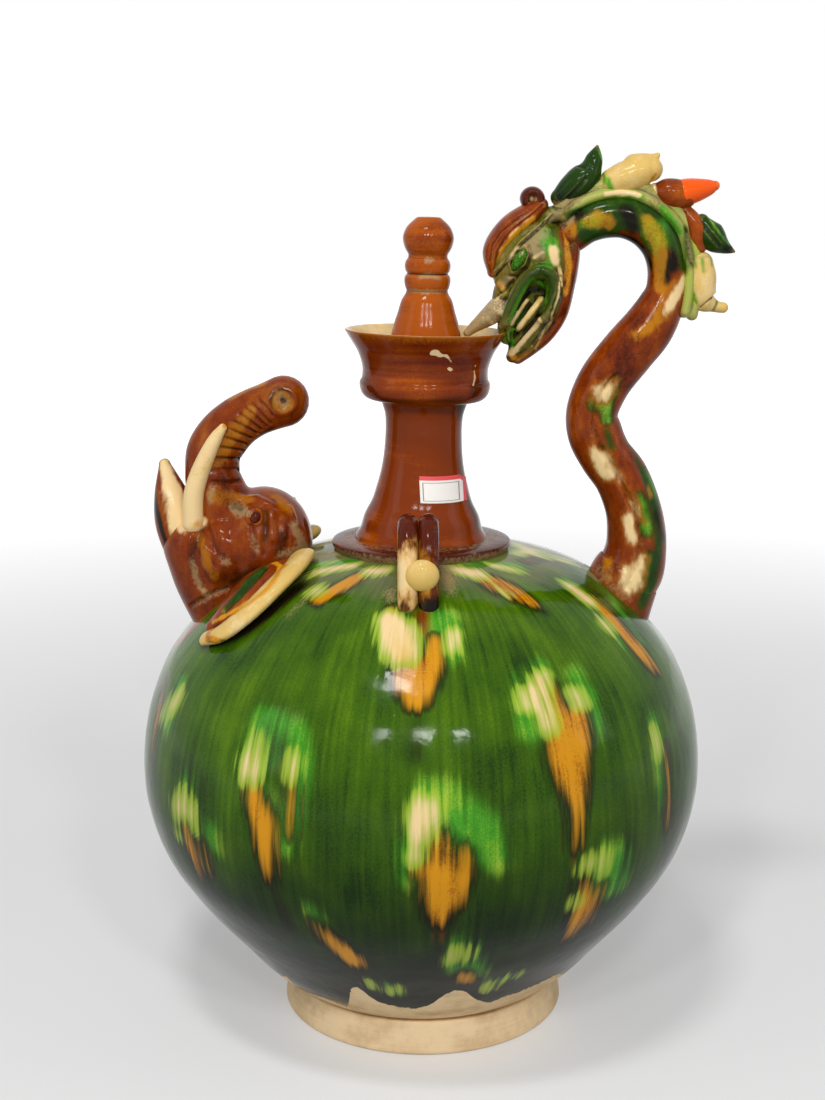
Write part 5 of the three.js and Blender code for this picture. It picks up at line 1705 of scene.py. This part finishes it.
EAR_RIM_LAYERS_PX = {
    "amber": [
        [(205, 628, 4), (212, 626, 3), (240, 610, 2.6), (268, 588, 2.6), (284, 564, 2.6)],
        [(207, 638, 3), (220, 640, 2)],
    ],
    "trail_and_shade": [[(208, 641, 1.6), (226, 640, 1.4)]], "lime": [[(311, 572, 2), (303, 582, 1.4)]],
}


def ear_rows(shares, hand):
    """An ear's rows, seated on the shoulder by casting down on the body."""
    tall = sizes().elephant_height
    tree = tree_of(bpy.data.objects["body_shell"])
    rows = []
    for x, y, lift, radius in shares:
        above = Vector((ELEPHANT.x + x * tall, hand * y * tall, 1))
        seat = tree.ray_cast(above, Vector((0, 0, -1)))[0]
        rows.append((above.x, above.y, seat.z + lift * tall, radius * tall))
    return rows


class EWER_OT_elephant_head(bpy.types.Operator):
    """Builds the elephant's head with its folds"""

    bl_idname = "ewer.elephant_head"
    bl_label = "Elephant's head"

    def execute(self, context):
        form = bmesh.new()
        ELEPHANT.lump(form, (0.112, 0.186), 0, (0.239, 0.278, 0.267))
        ELEPHANT.lump(form, (-0.066, 0.152), 0, (0.189, 0.256, 0.222))
        add_limb(form, ELEPHANT.rows(THROAT_SHARES), flat=1.15)
        add_limb(form, ELEPHANT.rows(BROW_SHARES), flat=1.1)
        piece = new_piece("head_of_elephant", form, ["elephant_head"])
        fuse(piece, voxel=0.7 * MM, passes=14)
        self.hollow_the_mouth(piece)
        carve(piece, HEAD_RIDGES_PX, 1.1 * MM)
        carve(piece, HEAD_CUTS_PX, -1.2 * MM)
        weights = {"amber": 0.3, "trail_and_shade": 0.6, "dust": 0.63, "cream": 0.8}
        glaze(piece, "elephant_glaze", SPOUT_TONES, HEAD_LAYERS_PX, passes=8, relief=5, weights=weights)
        return {"FINISHED"}

    def hollow_the_mouth(self, piece):
        """Presses the open mouth into the front of the head."""
        tool = linked("mouth_form", limb(ELEPHANT.rows(MOUTH_SHARES), flat=1.7))
        cut = piece.modifiers.new("Mouth", "BOOLEAN")
        cut.operation = "DIFFERENCE"
        cut.object = tool
        cut.solver = "EXACT"
        baked(piece)
        bpy.data.meshes.remove(tool.data)
        fuse(piece, voxel=0.6 * MM, passes=4)


class EWER_OT_elephant_jaw(bpy.types.Operator):
    """Builds the elephant's lower jaw, pale inside"""

    bl_idname = "ewer.elephant_jaw"
    bl_label = "Elephant's jaw"

    def execute(self, context):
        form = limb(ELEPHANT.rows(ELEPHANT_JAW_SHARES), flat=1.25, steps=80, sides=56)
        piece = new_piece("jaw_of_elephant", form, ["elephant_lower_jaw"])
        fuse(piece, voxel=0.5 * MM, passes=3)
        glaze(piece, "jaw_glaze", SPOUT_TONES, JAW_LAYERS_PX, passes=9, relief=5)
        return {"FINISHED"}


class EWER_OT_trunk(bpy.types.Operator):
    """Builds the raised trunk with its rings and its hollow tip"""

    bl_idname = "ewer.trunk"
    bl_label = "Trunk"

    def execute(self, context):
        form = limb(ELEPHANT.rows(TRUNK_SHARES), steps=150, sides=72)
        piece = new_piece("trunk_of_elephant", form, ["elephant_trunk"])
        fuse(piece, voxel=0.45 * MM, passes=2)
        u, v = TRUNK_TIP_PX
        carve(piece, [ring_px(u, v, 14, 3)], 0.6 * MM)
        carve(piece, [[(u, v, 5.4), (u + 1, v + 1, 5.4)]], -3.4 * MM)
        carve(piece, TRUNK_RINGS_PX, -1.1 * MM)
        glaze(piece, "trunk_glaze", SPOUT_TONES, TRUNK_LAYERS_PX, relief=5, weights={"amber": 0.35, "trail_and_shade": 0.7})
        return {"FINISHED"}


class EWER_OT_tusks_and_eyes(bpy.types.Operator):
    """Builds the elephant's tusks and its eyes"""

    bl_idname = "ewer.tusks_and_eyes"
    bl_label = "Tusks and eyes"

    def execute(self, context):
        ivory = glaze_material("tusk_glaze", ("cream", "cream", "cream_yellow"), TUSK_LAYERS_PX, speck=0.3)
        dark = glaze_material("elephant_eye_glaze", DARK_TONES, speck=0.3)
        for side, hand in SIDES:
            form = limb(ELEPHANT.rows(TUSK_SHARES, 0.139 * hand), steps=60, sides=36)
            piece = new_piece(f"ivory_tusk_{side}", form, [f"tusk_{side}"])
            paint(piece, TUSK_LAYERS_PX)
            finish_piece(piece, ivory)
            form = bmesh.new()
            ELEPHANT.lump(form, (0.094, 0.342), 0.228 * hand, (0.024, 0.03, 0.034), turn=0.3)
            finish_piece(new_piece(f"eye_of_elephant_{side}", form, [f"elephant_eye_{side}"]), dark)
        return {"FINISHED"}


class EWER_OT_ears(bpy.types.Operator):
    """Builds the elephant's ears, draped on the shoulder"""

    bl_idname = "ewer.ears"
    bl_label = "Ears"

    def execute(self, context):
        blade_glaze = glaze_material("ear_glaze", BROWN_TONES, EAR_LAYERS_PX, relief=True)
        rim_glaze = glaze_material("ear_rim_glaze", CREAM_TONES, EAR_RIM_LAYERS_PX)
        for side, hand in SIDES:
            thin = Vector((-0.45, 0.35 * hand, 0.82)).normalized()
            form = limb(ear_rows(EAR_BLADE_SHARES, hand), flat=0.42, side=thin, steps=120, sides=96)
            piece = new_piece(f"ear_blade_{side}", form, [f"ear_{side}"])
            self.finish_side(piece, hand, EAR_LAYERS_PX, blade_glaze, EAR_CUTS_PX)
            form = limb(ear_rows(EAR_RIM_SHARES, hand), flat=0.55, side=thin, steps=120, sides=48)
            piece = new_piece(f"ear_edge_{side}", form, [f"ear_rim_{side}"])
            self.finish_side(piece, hand, EAR_RIM_LAYERS_PX, rim_glaze)
        return {"FINISHED"}

    def finish_side(self, piece, hand, layers, material, cuts=()):
        """Carves and paints a piece as the near one. The far one is turned over and back to do it."""
        flip = Matrix.Diagonal((1, -1, 1, 1)) if hand > 0 else Matrix()
        piece.data.transform(flip)
        if cuts:
            carve(piece, cuts, -1.5 * MM, both=False)
            keep_relief(piece, 3)
        paint(piece, layers, both=False)
        piece.data.transform(flip)
        finish_piece(piece, material)


# Stage

FLOOR_REACH = 6
# The floor glows less about the foot: from how near to how far, and how much there
GLOW_NEAR, GLOW_FAR, GLOW_LEAST = 0.2, 1.8, 0.25
AIR_STRENGTH = 0.24
LAMP_AIM = Vector((0, 0, 0.16))
# For each lamp: its name, place, size in metres and power in watts
LAMPS = [
    ("left_pane", (-0.44, -1.45, 1.14), (0.15, 0.2), 5),
    ("middle_pane", (0.02, -1.5, 1.16), (0.18, 0.22), 6.5),
    ("right_pane", (0.46, -1.45, 1.14), (0.15, 0.19), 5),
    ("high_window", (-0.2, -0.6, 1.5), (0.26, 0.16), 7),
    ("left_panel", (-1.5, -0.7, 0.8), (0.5, 1.0), 2.5),
    ("right_panel", (1.5, -0.4, 0.9), (0.5, 0.9), 2),
]


class EWER_OT_stage(bpy.types.Operator):
    """Sets up the pale floor, the soft lights and the camera"""

    bl_idname = "ewer.stage"
    bl_label = "Stage"

    def execute(self, context):
        self.set_camera(context.scene)
        self.lay_floor()
        for lamp in LAMPS:
            self.add_lamp(context.scene, *lamp)
        self.light_the_air(context.scene)
        return {"FINISHED"}

    def set_camera(self, scene):
        lens = bpy.data.cameras.new("camera")
        lens.lens = FOCAL_PX * SENSOR / PHOTO_SIZE_PX[1]
        lens.sensor_width = SENSOR
        lens.clip_start = 10 * MM
        camera = bpy.data.objects.new("camera", lens)
        camera.location = CAMERA_PLACE
        camera.rotation_euler = (math.pi / 2 - CAMERA_PITCH, 0, 0)
        scene.collection.objects.link(camera)
        scene.camera = camera
        scene.view_settings.view_transform = "Standard"

    def lay_floor(self):
        form = bmesh.new()
        bmesh.ops.create_grid(form, x_segments=1, y_segments=1, size=FLOOR_REACH)
        floor = linked("floor", form)
        material, wire, surface, place = new_material("floor")
        away = wire.add("ShaderNodeVectorMath", {0: place}, operation="LENGTH").outputs["Value"]
        glow = wire.range(away, GLOW_NEAR, GLOW_FAR, GLOW_LEAST, 1.0)
        for label, value in (
            ("Base Color", (0.6, 0.6, 0.6, 1)), ("Roughness", 0.9), ("Emission Color", (1, 1, 1, 1)),
            ("Emission Strength", wire.times(self.seen_plainly(wire), glow)),
        ):
            wire.set(surface[label], value)
        floor.data.materials.append(material)

    def add_lamp(self, scene, name, place, size, power):
        lamp = bpy.data.lights.new(name, "AREA")
        lamp.shape = "RECTANGLE"
        lamp.size, lamp.size_y = size
        lamp.energy = power
        holder = bpy.data.objects.new(name, lamp)
        holder.location = place
        holder.rotation_euler = (LAMP_AIM - holder.location).to_track_quat("-Z", "Y").to_euler()
        scene.collection.objects.link(holder)

    def light_the_air(self, scene):
        world = bpy.data.worlds.new("air")
        world.use_nodes = True
        wire = Wiring(world.node_tree)
        ground = world.node_tree.nodes["Background"].inputs
        wire.set(ground["Color"], (1, 1, 1, 1))
        strength = wire.range(self.seen_plainly(wire), 0.0, 1.0, AIR_STRENGTH, 1.0, smooth=False)
        wire.set(ground["Strength"], strength)
        scene.world = world

    def seen_plainly(self, wire):
        """1 where a surface is seen, by the camera, in a gloss or through glass."""
        path = wire.add("ShaderNodeLightPath").outputs
        seen = wire.math("MAXIMUM", path["Is Camera Ray"], path["Is Transmission Ray"])
        return wire.math("MAXIMUM", seen, path["Is Glossy Ray"])


class EWER_PT_panel(bpy.types.Panel):
    """Lists the ewer's pieces, sizes and colours"""

    bl_idname = "EWER_PT_panel"
    bl_label = "Dragon Handled Ewer"
    bl_space_type = "VIEW_3D"
    bl_region_type = "UI"
    bl_category = "Ewer"

    def draw(self, context):
        for operator in OPERATORS:
            self.layout.operator(operator.bl_idname)
        for group in (context.scene.ewer_sizes, context.scene.ewer_colours):
            box = self.layout.box()
            for key in group.bl_rna.properties.keys():
                if key not in ("rna_type", "name"):
                    box.prop(group, key)


OPERATORS = (
    EWER_OT_stage, EWER_OT_foot, EWER_OT_body, EWER_OT_collar, EWER_OT_neck, EWER_OT_mouth, EWER_OT_stopper,
    EWER_OT_label, EWER_OT_lugs, EWER_OT_dragon_face, EWER_OT_dragon_eyes, EWER_OT_crest, EWER_OT_rim_lump,
    EWER_OT_handle, EWER_OT_mane, EWER_OT_locks, EWER_OT_elephant_head, EWER_OT_elephant_jaw, EWER_OT_trunk,
    EWER_OT_tusks_and_eyes, EWER_OT_ears,
)
CLASSES = (EwerSizes, EwerColours, *OPERATORS, EWER_PT_panel)


def register():
    for kind in CLASSES:
        bpy.utils.register_class(kind)
    bpy.types.Scene.ewer_sizes = PointerProperty(type=EwerSizes)
    bpy.types.Scene.ewer_colours = PointerProperty(type=EwerColours)


def unregister():
    del bpy.types.Scene.ewer_colours
    del bpy.types.Scene.ewer_sizes
    for kind in reversed(CLASSES):
        bpy.utils.unregister_class(kind)


def main():
    register()
    for operator in OPERATORS:
        group, name = operator.bl_idname.split(".")
        getattr(getattr(bpy.ops, group), name)()


if __name__ == "__main__":
    main()
